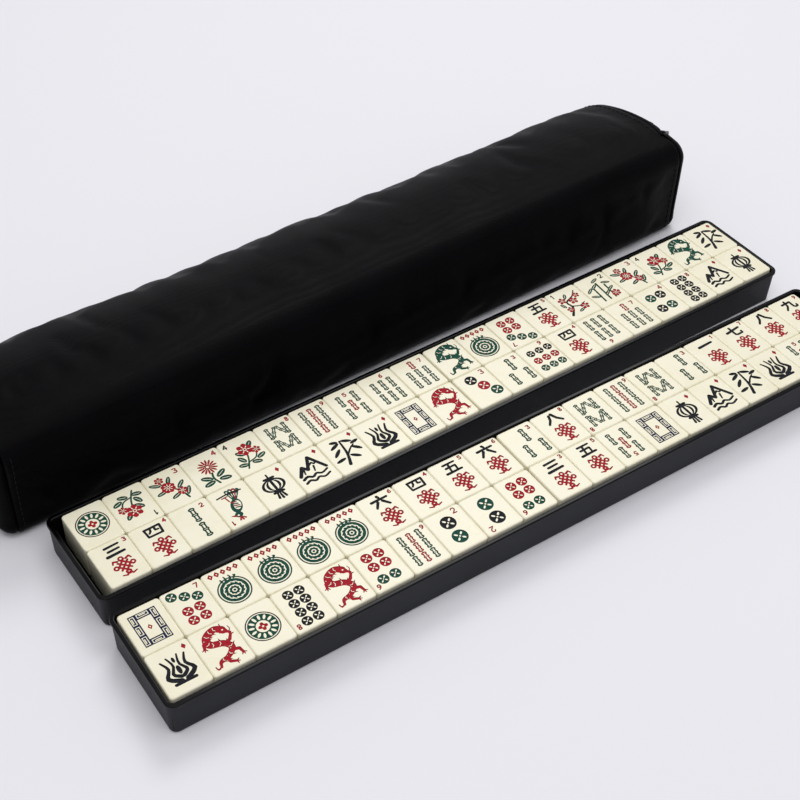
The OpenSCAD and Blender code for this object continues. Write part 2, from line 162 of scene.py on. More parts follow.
# Materials
class Paint:
    """A material with one shader, and short calls for the nodes that drive it."""

    def __init__(self, name, colour, rough=0.5, specular=0.5, **sockets):
        self.material = bpy.data.materials.new(name)
        self.material.use_nodes = True
        self.tree = self.material.node_tree
        self.shader = next(n for n in self.tree.nodes if n.type == "BSDF_PRINCIPLED")
        self.shader.inputs["Base Color"].default_value = colour
        self.shader.inputs["Roughness"].default_value = rough
        self.shader.inputs["Specular IOR Level"].default_value = specular
        for key, value in sockets.items():
            self.shader.inputs[key.replace("_", " ")].default_value = value
        self.place = self.node("ShaderNodeTexCoord").outputs["Object"]

    def node(self, kind, **values):
        n = self.tree.nodes.new(kind)
        for key, value in values.items():
            setattr(n, key, value)
        return n

    def link(self, a, b):
        self.tree.links.new(a, b)

    def noise(self, size_mm, detail=2.0, stretch=None):
        n = self.node("ShaderNodeTexNoise")
        n.inputs["Scale"].default_value = 1 / (size_mm * MM)
        n.inputs["Detail"].default_value = detail
        source = self.place
        if stretch:
            m = self.node("ShaderNodeMapping")
            m.inputs["Scale"].default_value = stretch
            self.link(source, m.inputs["Vector"])
            source = m.outputs[0]
        self.link(source, n.inputs["Vector"])
        return n.outputs["Fac"]

    def weave(self, pitch_mm, turn=(0, 0, 0)):
        """Two sets of threads that cross, as a height from 0 to 1."""
        m = self.node("ShaderNodeMapping")
        m.inputs["Rotation"].default_value = [math.radians(a) for a in turn]
        self.link(self.place, m.inputs["Vector"])
        waves = []
        for axis in "XYZ":
            w = self.node("ShaderNodeTexWave", wave_type="BANDS", bands_direction=axis)
            w.inputs["Scale"].default_value = 1 / (pitch_mm * MM) / 6.283 * 2
            self.link(m.outputs[0], w.inputs["Vector"])
            waves.append(w.outputs["Fac"])
        return self.math("MAXIMUM", self.math("MAXIMUM", waves[0], waves[1]), waves[2])

    def math(self, what, a, b=None, c=None, clamp=False):
        n = self.node("ShaderNodeMath", operation=what, use_clamp=clamp)
        for i, value in enumerate((a, b, c)):
            if value is None:
                continue
            if isinstance(value, (int, float)):
                n.inputs[i].default_value = value
            else:
                self.link(value, n.inputs[i])
        return n.outputs[0]

    def between(self, fac, low, high, from_min=0.3, from_max=0.7):
        """The factor moved from one range onto another."""
        n = self.node("ShaderNodeMapRange")
        n.inputs["From Min"].default_value = from_min
        n.inputs["From Max"].default_value = from_max
        n.inputs["To Min"].default_value = low
        n.inputs["To Max"].default_value = high
        self.link(fac, n.inputs["Value"])
        return n.outputs["Result"]

    def tint(self, fac, one, two):
        """The base colour runs from one colour to another."""
        n = self.node("ShaderNodeMix", data_type="RGBA")
        n.inputs[6].default_value = one
        n.inputs[7].default_value = two
        self.link(fac, n.inputs[0])
        self.link(n.outputs[2], self.shader.inputs["Base Color"])
        return n.outputs[2]

    def roughen(self, fac):
        self.link(fac, self.shader.inputs["Roughness"])

    def bump(self, height, depth_mm, strength=1.0):
        n = self.node("ShaderNodeBump")
        n.inputs["Strength"].default_value = strength
        n.inputs["Distance"].default_value = depth_mm * MM
        self.link(height, n.inputs["Height"])
        if self.shader.inputs["Normal"].links:
            self.link(self.shader.inputs["Normal"].links[0].from_socket, n.inputs["Normal"])
        self.link(n.outputs[0], self.shader.inputs["Normal"])


def cloth_paint(name, dark, light, thread, rough, gloss, sheen):
    """Woven cloth over foam: threads, a soft mottle, and a dusty bloom."""
    p = Paint(name, dark, rough=rough, specular=gloss)
    p.shader.inputs["Sheen Weight"].default_value = sheen
    p.shader.inputs["Sheen Roughness"].default_value = 0.4
    grain = p.noise(thread * 2.2, 3)
    soft = p.noise(34, 3)
    mottle = p.math("MULTIPLY_ADD", grain, 0.45, p.math("MULTIPLY", soft, 0.55))
    p.tint(p.between(mottle, 0, 1, 0.36, 0.62), dark, light)
    p.roughen(p.between(soft, rough - 0.05, rough + 0.07))
    p.bump(p.weave(thread), thread * 0.12, 0.6)
    p.bump(grain, thread * 0.2, 0.5)
    p.bump(p.noise(11, 3), 0.25, 0.35)
    return p.material


def tape_paint():
    p = Paint("tape_cloth", rgb(24, 25, 28), rough=0.72, specular=0.1)
    ribs = p.weave(0.9, (0, 0, 45))
    p.tint(p.between(ribs, 0, 1, 0.2, 0.9), rgb(10, 10, 12), rgb(27, 28, 31))
    p.bump(ribs, 0.12, 0.8)
    p.bump(p.noise(0.7, 3), 0.06, 0.6)
    return p.material


def teeth_paint():
    p = Paint("teeth_resin", rgb(26, 26, 29), rough=0.34, specular=0.3)
    wear = p.noise(2.4, 3)
    p.tint(p.between(wear, 0, 1), rgb(20, 20, 23), rgb(42, 42, 47))
    p.roughen(p.between(wear, 0.30, 0.5))
    p.bump(p.noise(0.9, 2), 0.03, 0.6)
    return p.material


def metal_paint():
    p = Paint("dark_metal", rgb(74, 75, 80), rough=0.32, specular=0.5, Metallic=1.0)
    wear = p.noise(1.6, 4, (1, 1, 0.35))
    p.tint(p.between(wear, 0, 1), rgb(60, 61, 66), rgb(120, 121, 126))
    p.roughen(p.between(p.noise(0.8, 3), 0.22, 0.46))
    p.bump(p.noise(0.5, 2), 0.012, 0.7)
    return p.material


def board_paint():
    p = Paint("board_cover", rgb(30, 31, 34), rough=0.8, specular=0.12)
    fibre = p.noise(1.1, 4, (0.35, 1, 1))
    p.tint(p.between(fibre, 0, 1), rgb(22, 23, 26), rgb(46, 47, 51))
    p.roughen(p.between(p.noise(18, 2), 0.7, 0.86))
    p.bump(fibre, 0.12, 0.6)
    return p.material


# What counts as a tray's outer wall: this near its outline, and this far below its lip
WALL_IN, LIP_DOWN = 2.3, 0.75


def tray_paint(name, tray):
    """Vacuum-formed sheet: glossy inside and over the lip, fine grain on the outer walls."""
    p = Paint(name, rgb(9, 9, 10), rough=0.14, specular=0.12)
    to_tray = p.node("ShaderNodeMapping", vector_type="TEXTURE")
    to_tray.inputs["Location"].default_value = (tray["x"] * MM, tray["y"] * MM, 0)
    to_tray.inputs["Rotation"].default_value = (0, 0, math.radians(tray["turn"]))
    p.link(p.place, to_tray.inputs["Vector"])
    parts = p.node("ShaderNodeSeparateXYZ")
    p.link(to_tray.outputs[0], parts.inputs[0])
    wide = p.math("ABSOLUTE", parts.outputs["X"])
    deep = p.math("ABSOLUTE", parts.outputs["Y"])
    out_x = p.math("GREATER_THAN", wide, (TRAY_L / 2 - WALL_IN) * MM)
    out_y = p.math("GREATER_THAN", deep, (TRAY_D / 2 - WALL_IN) * MM)
    low = p.math("LESS_THAN", parts.outputs["Z"], (TRAY_H - LIP_DOWN) * MM)
    outer = p.math("MULTIPLY", p.math("MAXIMUM", out_x, out_y), low)
    grain = p.noise(0.85, 3)
    dust = p.noise(26, 3)
    base = p.tint(outer, rgb(3, 3, 4), rgb(42, 43, 47))
    shade = p.node("ShaderNodeMix", data_type="RGBA", blend_type="MULTIPLY")
    shade.inputs[0].default_value = 0.55
    p.link(base, shade.inputs[6])
    tone = p.node("ShaderNodeCombineXYZ")
    level = p.between(p.math("MULTIPLY_ADD", grain, 0.6, p.math("MULTIPLY", dust, 0.4)), 0.55, 1.35)
    for axis in range(3):
        p.link(level, tone.inputs[axis])
    p.link(tone.outputs[0], shade.inputs[7])
    p.link(shade.outputs[2], p.shader.inputs["Base Color"])
    gloss = p.between(dust, 0.09, 0.17)
    matte = p.between(grain, 0.44, 0.62)
    p.roughen(p.math("ADD", p.math("MULTIPLY", matte, outer),
                     p.math("MULTIPLY", gloss, p.math("SUBTRACT", 1.0, outer))))
    p.bump(p.math("MULTIPLY", grain, outer), 0.10, 0.8)
    p.bump(p.noise(21, 2), 0.25, 0.22)
    return p.material


def ivory_paint():
    p = Paint("tile_ivory", rgb(240, 233, 208), rough=0.3, specular=0.35)
    cloud = p.noise(15, 3)
    speck = p.noise(1.2, 3)
    both = p.math("MULTIPLY_ADD", cloud, 0.85, p.math("MULTIPLY", speck, 0.15))
    p.tint(p.between(both, 0, 1, 0.38, 0.62), rgb(241, 235, 208), rgb(245, 240, 216))
    p.roughen(p.between(cloud, 0.24, 0.34))
    p.bump(p.noise(9, 2), 0.05, 0.3)
    return p.material


def ink_paint(name, colour, light):
    """Paint filled into the engraved lines, a little uneven."""
    p = Paint(name, colour, rough=0.6, specular=0.1)
    patch = p.noise(1.3, 4)
    p.tint(p.between(patch, 0, 1, 0.35, 0.68), colour, light)
    p.roughen(p.between(patch, 0.5, 0.7))
    p.bump(patch, 0.05, 0.7)
    return p.material


def thread_paint():
    p = Paint("sewing_thread", rgb(12, 12, 14), rough=0.5, specular=0.1)
    twist = p.noise(0.35, 2, (1, 2.4, 2.4))
    p.tint(p.between(twist, 0, 1), rgb(6, 6, 8), rgb(18, 18, 21))
    p.bump(twist, 0.05, 0.8)
    return p.material


# Meshes
def piece(name, points, faces, paints, marks=None, smooth=True, fix=True):
    """A mesh object from points in millimetres; marks gives the paint of each face."""
    mesh = bpy.data.meshes.new(name)
    mesh.from_pydata((np.asarray(points, float) * MM).tolist(), [], faces)
    for paint in paints if isinstance(paints, (list, tuple)) else [paints]:
        mesh.materials.append(paint)
    if marks is not None:
        mesh.polygons.foreach_set("material_index", np.asarray(marks, np.int32))
    mesh.polygons.foreach_set("use_smooth", [smooth] * len(mesh.polygons))
    if fix:
        work = bmesh.new()
        work.from_mesh(mesh)
        bmesh.ops.recalc_face_normals(work, faces=work.faces)
        for edge in work.edges:
            edge.smooth = edge.calc_face_angle(0.0) < math.radians(55)
        work.to_mesh(mesh)
        work.free()
    mesh.update()
    obj = bpy.data.objects.new(name, mesh)
    bpy.context.scene.collection.objects.link(obj)
    return obj


def smoothstep(t):
    t = np.clip(t, 0, 1)
    return t * t * (3 - 2 * t)


def quarter(t):
    """A quarter circle from 0 to 1."""
    t = np.clip(t, 0, 1)
    return np.sqrt(1 - (1 - t) ** 2)


_waves = np.random.default_rng(11)
WAVE_DIRECTIONS = _waves.normal(size=(3, 10, 2))
WAVE_PHASES = _waves.uniform(0, 2 * math.pi, (3, 10))


def ripple(a, b, size, bank=0):
    """A smooth random height of about -1 to 1 over two coordinates; size is its wavelength."""
    total = 0
    for k in range(10):
        d = WAVE_DIRECTIONS[bank, k]
        d = d / np.hypot(*d) * (0.6 + 0.09 * k)
        total = total + np.sin((a * d[0] + b * d[1]) * 2 * math.pi / size + WAVE_PHASES[bank, k])
    return total / 4.5


# The case's section
crown_c = np.array([FRONT + CROWN_Y, CASE_H - CROWN_R])


def under_crown(y, radius):
    """The centre of an arc that the crown's arc runs into, from its place along the depth."""
    return np.array([y, crown_c[1] + math.sqrt((CROWN_R - radius) ** 2 - (y - crown_c[0]) ** 2)])


brow_c = under_crown(FRONT + BROW_R, BROW_R)
back_c = under_crown(-FRONT - BACK_R, BACK_R)
brow_end = math.degrees(math.atan2(brow_c[1] - crown_c[1], brow_c[0] - crown_c[0]))
crown_end = math.degrees(math.atan2(back_c[1] - crown_c[1], back_c[0] - crown_c[0]))
ARCS = [
    ((FRONT + FOOT_R, FOOT_R), FOOT_R, 270, 180),
    (brow_c, BROW_R, 180, brow_end),
    (crown_c, CROWN_R, brow_end, crown_end),
    (back_c, BACK_R, crown_end, 0),
    ((-FRONT - FOOT_R, FOOT_R), FOOT_R, 0, -90),
]


def trace_section():
    """Points round the section every 0.25 mm: where they are, and which way is out."""
    points, normals = [], []
    for centre, radius, a0, a1 in ARCS:
        count = max(2, int(math.radians(abs(a1 - a0)) * radius / 0.25))
        for a in np.radians(np.linspace(a0, a1, count + 1)):
            out = np.array([math.cos(a), math.sin(a)])
            points.append(np.array(centre) + radius * out)
            normals.append(out)
    points.append(points[0])
    normals.append(normals[0])
    return np.array(points), np.array(normals)


RAW_P, RAW_N = trace_section()
RAW_S = np.r_[0, np.cumsum(np.hypot(*np.diff(RAW_P, axis=0).T))]
ROUND = RAW_S[-1]


def skin(s, depth=0.0):
    """Point of the section at an arc length, drawn in by a depth, and the way out there."""
    s = np.mod(s, ROUND)
    p = np.stack([np.interp(s, RAW_S, RAW_P[:, i]) for i in (0, 1)], -1)
    n = np.stack([np.interp(s, RAW_S, RAW_N[:, i]) for i in (0, 1)], -1)
    n = n / np.linalg.norm(n, axis=-1, keepdims=True)
    return p - n * np.asarray(depth)[..., None], n


fold_turn = math.radians(FOLD_A)
fold_p = brow_c + BROW_R * np.array([-math.cos(fold_turn), math.sin(fold_turn)])
TILT = math.atan2(fold_p[1] - ZIP_BACK_H, -FRONT - fold_p[0])
ZIP_RUN = (-FRONT - fold_p[0]) / math.cos(TILT)
DOWN = np.array([math.cos(TILT), -math.sin(TILT)])
ACROSS = np.array([math.sin(TILT), math.cos(TILT)])


def zip_uw(p):
    """Distance from the fold down the zip's plane, and height over that plane."""
    return (p - fold_p) @ DOWN, (p - fold_p) @ ACROSS


SCAN_S = np.arange(0, ROUND, 0.02)


def cut_at(height, depth=0.0, back=True):
    """Arc length at which a plane over the zip's plane cuts the section."""
    u, w = zip_uw(skin(SCAN_S, depth)[0])
    side = (u > ZIP_RUN / 2) if back else (u < ZIP_RUN / 2)
    return SCAN_S[np.argmin(np.where(side, abs(w - height), 1e9))]


FOLD_S = SCAN_S[np.argmin(np.hypot(*(skin(SCAN_S)[0] - fold_p).T))]

# Half the soft crease across the fold, and the roll of the padding at its seams
CREASE, SEAM_R = 7.0, 1.5


def swell(s, x):
    """How far the padded skin stands out between its seams."""
    p, n = skin(s)
    ends = HALF - abs(x)
    high = smoothstep((p[..., 1] - 12) / 30)
    rise = 0.9 * smoothstep(ends / 60)
    rise = rise + 2.2 * smoothstep((-x - 60) / 190) * smoothstep((p[..., 1] - 30) / 30)
    rise = rise + 0.38 * ripple(s, x, 96) + 0.13 * ripple(s, x, 31, 1)
    pucker = 0.16 * ripple(s * 1.6, x * 0.2, 15, 2) * np.exp(-ends / 7)
    return (rise + pucker) * high * smoothstep((n[..., 1] + 0.9) / 0.6)


def wrap_depth(s, x, edge):
    """Depth of the wrap's skin below the plain section; edge is the distance to a free edge."""
    ends = SEAM_R * (1 - quarter((HALF - abs(x)) / SEAM_R))
    free = SEAM_R * (1 - quarter(edge / SEAM_R))
    droop = 1.0 * (1 - smoothstep((HALF - abs(x)) / 30)) * smoothstep((skin(s)[0][..., 1] - 2) / 12)
    return np.minimum(ends + free, SEAM_R * 1.35) + droop - swell(s, x) * quarter(edge / 9)


def steps(total, spacing, first=SEAM_R):
    """Distances along a strip, close together at both ends, where it rolls over."""
    rim = first * (1 - np.cos(np.radians([0, 20, 40, 62, 90])))
    rim = np.r_[rim, rim[-1] + 1.2]
    count = int((total - 2 * rim[-1]) / spacing) + 1
    middle = np.linspace(rim[-1], total - rim[-1], count + 1)[1:-1]
    return np.r_[rim, middle, (total - rim)[::-1]]


def closed_grid(outer, inner):
    """Points and faces of a slab between two grids that share their layout."""
    rows, cols = outer.shape[:2]
    points = np.concatenate([outer.reshape(-1, 3), inner.reshape(-1, 3)])
    half = rows * cols
    index = np.arange(half).reshape(rows, cols)
    faces = []
    for i in range(rows - 1):
        for j in range(cols - 1):
            a, b, c, d = index[i, j], index[i, j + 1], index[i + 1, j + 1], index[i + 1, j]
            faces.append((a, b, c, d))
            faces.append((d + half, c + half, b + half, a + half))
    rim = np.r_[index[0, :], index[1:, -1], index[-1, :-1][::-1], index[1:-1, 0][::-1]]
    for a, b in zip(rim, np.roll(rim, -1)):
        faces.append((b, a, a + half, b + half))
    return points, [tuple(int(v) for v in f) for f in faces]


def section_slab(depth_of, s_out, s_in, x, thick):
    """A slab that follows the section: depth_of gives the outer skin, thick the inner one."""
    s, xx = np.meshgrid(s_out, x, indexing="ij")
    p, _ = skin(s, depth_of(s, xx))
    outer = np.stack([xx, p[..., 0], p[..., 1]], -1)
    s2, xx2 = np.meshgrid(s_in, x, indexing="ij")
    q, _ = skin(s2, thick)
    return outer, np.stack([xx2, q[..., 0], q[..., 1]], -1)


XS = -HALF + steps(2 * HALF, 3.0)


def wrap_piece(name, s_fold_side, lid, paint):
    """The lid's or the base's share of the padded sheet."""
    height = SLOT / 2 if lid else -SLOT / 2
    s_slot, s_slot_in = cut_at(height), cut_at(height, WRAP_T)
    if lid:
        length = s_slot - s_fold_side
        along = s_slot - steps(length, 2.6)[::-1]
        along = np.r_[s_fold_side, s_fold_side + 0.4, along[along > s_fold_side + 1.5]]
        inner = s_fold_side + (along - s_fold_side) * (s_slot_in - s_fold_side) / length
        free = s_slot - along
    else:
        length = s_fold_side + ROUND - s_slot
        along = s_slot + steps(length, 2.6)
        end = s_fold_side + ROUND
        along = np.r_[along[along < end - 1.5], end - 0.4, end]
        inner = s_slot_in + (along - s_slot) * (end - s_slot_in) / length
        free = along - s_slot
    outer, back = section_slab(lambda s, x: wrap_depth(s, x, free[:, None]), along, inner, XS, WRAP_T)
    points, faces = closed_grid(outer, back)
    obj = piece(name, points, faces, paint)
    from_fold = np.minimum(abs(along - s_fold_side), abs(along - s_fold_side - ROUND))
    spare = np.minimum(np.minimum(free / 16, from_fold / 18)[:, None], (HALF - abs(XS)) / 16)
    hold = 1 - smoothstep(spare)
    hold[skin(along)[1][:, 1] < -0.4] = 1.0
    relax(obj, hold, len(along), len(XS))
    return obj


def crease_piece(name, reach, rise_of, thick, x, paint):
    """Soft material across the fold."""
    along = FOLD_S + np.linspace(-reach, reach, 19)
    along = np.r_[along[0], along[0] + 0.4, along[1:-1], along[-1] - 0.4, along[-1]]
    outer, back = section_slab(rise_of, along, along, x, thick)
    points, faces = closed_grid(outer, back)
    obj = piece(name, points, faces, paint)
    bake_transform(obj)
    return obj


CLOTH_STEPS, PUSH, MOST_MOVED = 18, 2.0, 1.2


def relax(obj, hold, rows, cols):
    """Lets the outer skin of a slab billow and crumple as cloth over its foam. hold is how
    firmly each point of the skin is held, from 0 to 1; the rest of the slab stays still."""
    mesh = obj.data
    group = obj.vertex_groups.new(name="held")
    outer = rows * cols
    for i, weight in enumerate(hold.ravel()):
        group.add([i], float(weight), "REPLACE")
    group.add(list(range(outer, len(mesh.vertices))), 1.0, "REPLACE")
    cloth = obj.modifiers.new("cloth", "CLOTH")
    cloth.settings.quality = 6
    cloth.settings.mass = 0.2
    cloth.settings.tension_stiffness = cloth.settings.compression_stiffness = 10
    cloth.settings.shear_stiffness = 5
    cloth.settings.bending_stiffness = 0.4
    cloth.settings.vertex_group_mass = "held"
    cloth.settings.use_pressure = True
    cloth.settings.uniform_pressure_force = PUSH
    cloth.settings.shrink_min = -0.012
    cloth.settings.effector_weights.gravity = 0
    cloth.collision_settings.use_collision = False
    scene = bpy.context.scene
    for number in range(1, CLOTH_STEPS + 1):
        scene.frame_set(number)
    shaped = obj.evaluated_get(bpy.context.evaluated_depsgraph_get())
    rest = np.array([v.co for v in mesh.vertices])
    moved = np.array([v.co for v in shaped.data.vertices]) - rest
    obj.modifiers.remove(cloth)
    obj.vertex_groups.remove(group)
    scene.frame_set(1)
    step = np.nan_to_num(moved[:outer]).reshape(rows, cols, 3)
    for _ in range(2):
        wide = np.pad(step, ((1, 1), (1, 1), (0, 0)), mode="edge")
        step = (2 * step + wide[:-2, 1:-1] + wide[2:, 1:-1] + wide[1:-1, :-2] + wide[1:-1, 2:]) / 6
    size = np.linalg.norm(step, axis=-1, keepdims=True)
    step = step * np.minimum(1, MOST_MOVED * MM / np.maximum(size, 1e-9)) * (1 - hold[..., None])
    rest[:outer] += step.reshape(-1, 3)
    mesh.vertices.foreach_set("co", rest.astype(np.float32).ravel())
    mesh.update()


# Padded ends
def to_lines(p, line):
    """Distance from points to a polyline."""
    best = np.full(len(p), 1e9)
    for a, b in zip(line[:-1], line[1:]):
        d = b - a
        t = np.clip(((p - a) @ d) / max(d @ d, 1e-12), 0, 1)
        best = np.minimum(best, np.hypot(*(p - a - t[:, None] * d).T))
    return best


def inside(p, polygon):
    x, y = p[:, 0], p[:, 1]
    result = np.zeros(len(p), bool)
    for (x0, y0), (x1, y1) in zip(polygon, np.roll(polygon, -1, 0)):
        hit = ((y0 > y) != (y1 > y)) & (x < (x1 - x0) * (y - y0) / (y1 - y0 + 1e-12) + x0)
        result ^= hit
    return result


def soften(points, radius, spacing=1.6):
    """A closed polygon with its sharp corners rounded and its long edges divided."""
    out = []
    count = len(points)
    for i in range(count):
        a, b, c = points[i - 1], points[i], points[(i + 1) % count]
        before, after = (b - a), (c - b)
        la, lc = np.hypot(*before), np.hypot(*after)
        turn = abs(math.atan2(before[0] * after[1] - before[1] * after[0], before @ after))
        if turn > math.radians(25):
            cut = min(radius, 0.45 * la, 0.45 * lc)
            p0, p2 = b - before / la * cut, b + after / lc * cut
            for t in np.linspace(0, 1, 5):
                out.append((1 - t) ** 2 * p0 + 2 * t * (1 - t) * b + t * t * p2)
        else:
            out.append(b)
    out = np.array(out)
    fine = []
    for a, b in zip(out, np.roll(out, -1, 0)):
        n = max(1, int(np.hypot(*(b - a)) / spacing))
        fine.extend(a + (b - a) * k / n for k in range(n))
    return np.array(fine)


def new_numbers(groups):
    """Where each point that went into a triangulation has come out of it."""
    place = {}
    for new, old in enumerate(groups):
        for o in old:
            place.setdefault(o, new)
    return place


def lattice(x0, x1, y0, y1, pitch):
    return np.stack(np.meshgrid(np.arange(x0, x1, pitch), np.arange(y0, y1, pitch)), -1).reshape(-1, 2)


def fill(rim, loose, clear):
    """Triangles over a closed rim and the loose points well inside: points, faces and the rim."""
    loose = loose[inside(loose, rim)]
    loose = loose[to_lines(loose, np.r_[rim, rim[:1]]) > clear]
    count = len(rim)
    found = delaunay_2d_cdt([Vector(p) for p in np.concatenate([rim, loose])],
                            [(i, (i + 1) % count) for i in range(count)], [], 1, 1e-5, True)
    place = new_numbers(found[3])
    flat = np.array([tuple(v) for v in found[0]])
    return flat, [tuple(f) for f in found[2]], [place[i] for i in range(count)]


# Roll of a padded end's edges along the zip
SLOT_R = 2.4


def end_in(p):
    """How far a padded end is drawn in behind the section, at points of it."""
    return 0.5 + 0.9 * smoothstep((p[:, 1] - 2) / 12)


def end_region(lid):
    """The polygon of a padded end's half, and its edges along the zip."""
    if lid:
        s0, s1 = cut_at(SLOT / 2, back=False), cut_at(SLOT / 2)
        rim = skin(np.linspace(s0, s1, int((s1 - s0) / 1.6)))[0]
        return rim, np.array([rim[-1], rim[0]])
    s0, s1 = cut_at(-SLOT / 2), cut_at(SLOT / 2 - 0.3, back=False) + ROUND
    rim = skin(np.linspace(s0, s1, int((s1 - s0) / 1.6)))[0]
    corners = [fold_p + ZIP_START * DOWN + w * ACROSS for w in (SLOT / 2 - 0.3, -SLOT / 2)]
    return rim, np.array([rim[-1], *corners, rim[0]])


def end_height(p, slot, lid):
    """How far out the skin of a padded end lies over its points."""
    rim = to_lines(p, RAW_P[::4])
    cut = to_lines(p, slot)
    full = HALF + END_T * quarter((rim - end_in(p)) / END_T) - SLOT_R * (1 - quarter(cut / SLOT_R))
    puff = 2.0 * smoothstep(rim / 30) * smoothstep(cut / 16)
    shift = 300 if lid else 0
    wave = 0.28 * ripple(p[:, 0] + shift, p[:, 1], 48)
    wave = wave + 0.12 * ripple(p[:, 0], p[:, 1] + shift, 19, 1)
    return full + puff + wave * smoothstep(rim / 9) * smoothstep(cut / 6)


def end_piece(name, side, lid, paint):
    """Half of a padded end: a soft rim outside, rolled edges along the zip, and a flat back."""
    rim, slot = end_region(lid)
    polygon = soften(np.concatenate([rim, slot[1:-1]]), 3.0)
    near_rim = to_lines(polygon, RAW_P[::4])
    near_slot = to_lines(polygon, slot)
    on_rim = near_slot / (near_rim + near_slot + 1e-6)
    ahead = np.roll(polygon, -1, 0)
    turn = np.sign(np.sum(polygon[:, 0] * ahead[:, 1] - polygon[:, 1] * ahead[:, 0]))
    along = ahead - np.roll(polygon, 1, 0)
    inward = turn * np.stack([-along[:, 1], along[:, 0]], -1)
    inward /= np.linalg.norm(inward, axis=1, keepdims=True)
    edge = polygon + inward * ((0.22 + end_in(polygon)) * on_rim)[:, None]
    rings = [lattice(-54, 54, -2, 74, 2.3)]
    around = np.arange(0, ROUND, 2.0)
    for depth in (1.1, 1.6, 2.2, 2.7, 3.3, 4.1, 5.2, 6.6, 8.2, 10.0):
        rings.append(skin(around, depth)[0])
    for a, b in zip(slot[:-1], slot[1:]):
        long = np.hypot(*(b - a))
        d = (b - a) / long
        for depth in (0.3, 0.8, 1.5, 2.4):
            for way in (1, -1):
                off = np.array([-d[1], d[0]]) * depth * way
                rings.append(a + off + np.outer(np.arange(0, long, 2.0), d))
    flat, faces, ring = fill(edge, np.concatenate(rings), 0.22)
    count = len(edge)
    out = end_height(flat, slot, lid)
    points = [np.stack([side * out, flat[:, 0], flat[:, 1]], -1)]
    top = out[ring]
    total = len(flat)
    for part, draw in ((0.35, 0.06), (0.65, 0.3), (0.88, 0.8), (1.0, 1.6)):
        p = edge + inward * (draw * on_rim)[:, None]
        x = top + (HALF + 0.05 - top) * part
        points.append(np.stack([side * x, p[:, 0], p[:, 1]], -1))
        new = list(range(total, total + count))
        total += count
        for i in range(count):
            j = (i + 1) % count
            faces.append((ring[i], ring[j], new[j], new[i]))
        ring = new
    faces.append(tuple(ring))
    return piece(name, np.concatenate(points), faces, paint)


# Lining
def lining_piece(name, lid, paint):
    """The cloth inside the lid or the base: a strip round the section and a panel at each end."""
    under = WRAP_T + 0.1
    s_fold = cut_at(0.4 if lid else -0.4, under, back=False)
    s_slot = cut_at(SLOT / 2 if lid else -SLOT / 2, under)
    along = np.linspace(s_fold, s_slot, 36) if lid else np.linspace(s_slot, s_fold + ROUND, 84)
    x = np.linspace(-HALF + 0.1, HALF - 0.1, 110)
    s, xx = np.meshgrid(along, x, indexing="ij")
    top, _ = section_slab(lambda s, x: WRAP_T + 0.06, along, along, x, WRAP_T + LINING_T)
    drape = 0.22 * ripple(s, xx, 44) + 0.16 * ripple(s * 0.5, xx, 17, 1)
    q, _ = skin(s, WRAP_T + LINING_T - 0.25 + drape * 0.9)
    points, faces = closed_grid(top, np.stack([xx, q[..., 0], q[..., 1]], -1))
    all_points, all_faces = [points], list(faces)
    area = np.ptp(along) * 2 * HALF
    rim = soften(skin(along, under)[0], 1.0, 3.0)
    total = len(points)
    for side in (-1, 1):
        flat, triangles, ring = fill(rim, lattice(-46, 47, 6, 66, 4.0), 1.0)
        near = to_lines(flat, np.r_[rim, rim[:1]])
        wave = 0.3 * ripple(flat[:, 0], flat[:, 1] + 90 * side, 33) * smoothstep(near / 6)
        for out in (np.full(len(flat), side * (HALF - 0.06)), side * (HALF - LINING_T + 0.2 + wave)):
            all_points.append(np.stack([out, flat[:, 0], flat[:, 1]], -1))
        n = len(flat)
        for f in triangles:
            all_faces.append(tuple(total + v for v in f))
            all_faces.append(tuple(total + n + v for v in f[::-1]))
        for a, b in zip(ring, ring[1:] + ring[:1]):
            all_faces.append((total + a, total + b, total + n + b, total + n + a))
        total += 2 * n
        x0, y0 = rim[:, 0], rim[:, 1]
        area += 0.5 * abs(np.sum(x0 * np.roll(y0, -1) - y0 * np.roll(x0, -1)))
    obj = piece(name, np.concatenate(all_points), all_faces, paint)
    return obj


# Zip tapes
tape_x, tape_y, tape_corner = CASE_L / 2 - TAPE_DEEP, ZIP_RUN - TAPE_DEEP, END_T - TAPE_DEEP


def tape_path(left=0.0, right=0.0):
    """The tape's middle line seen square to the zip's plane, and the way out of it."""
    line, out = [], []
    for u in np.arange(ZIP_START + left, tape_y - tape_corner, 2.0):
        line.append((-tape_x, u))
        out.append((-1, 0))
    for a in np.radians(np.linspace(180, 90, 7)):
        out.append((math.cos(a), math.sin(a)))
        line.append((-tape_x + tape_corner + tape_corner * out[-1][0],
                     tape_y - tape_corner + tape_corner * out[-1][1]))
    for x in np.arange(-tape_x + tape_corner + 2, tape_x - tape_corner - 1, 2.0):
        line.append((x, tape_y))
        out.append((0, 1))
    for a in np.radians(np.linspace(90, 0, 7)):
        out.append((math.cos(a), math.sin(a)))
        line.append((tape_x - tape_corner + tape_corner * out[-1][0],
                     tape_y - tape_corner + tape_corner * out[-1][1]))
    for u in np.arange(tape_y - tape_corner - 2, ZIP_START + right, -2.0):
        line.append((tape_x, u))
        out.append((1, 0))
    line.append((tape_x, ZIP_START + right))
    out.append((1, 0))
    return np.array(line), np.array(out)


def from_zip(x, u, w):
    p = fold_p + np.outer(u, DOWN) + np.outer(w, ACROSS)
    return np.stack([x, p[:, 0], p[:, 1]], -1)


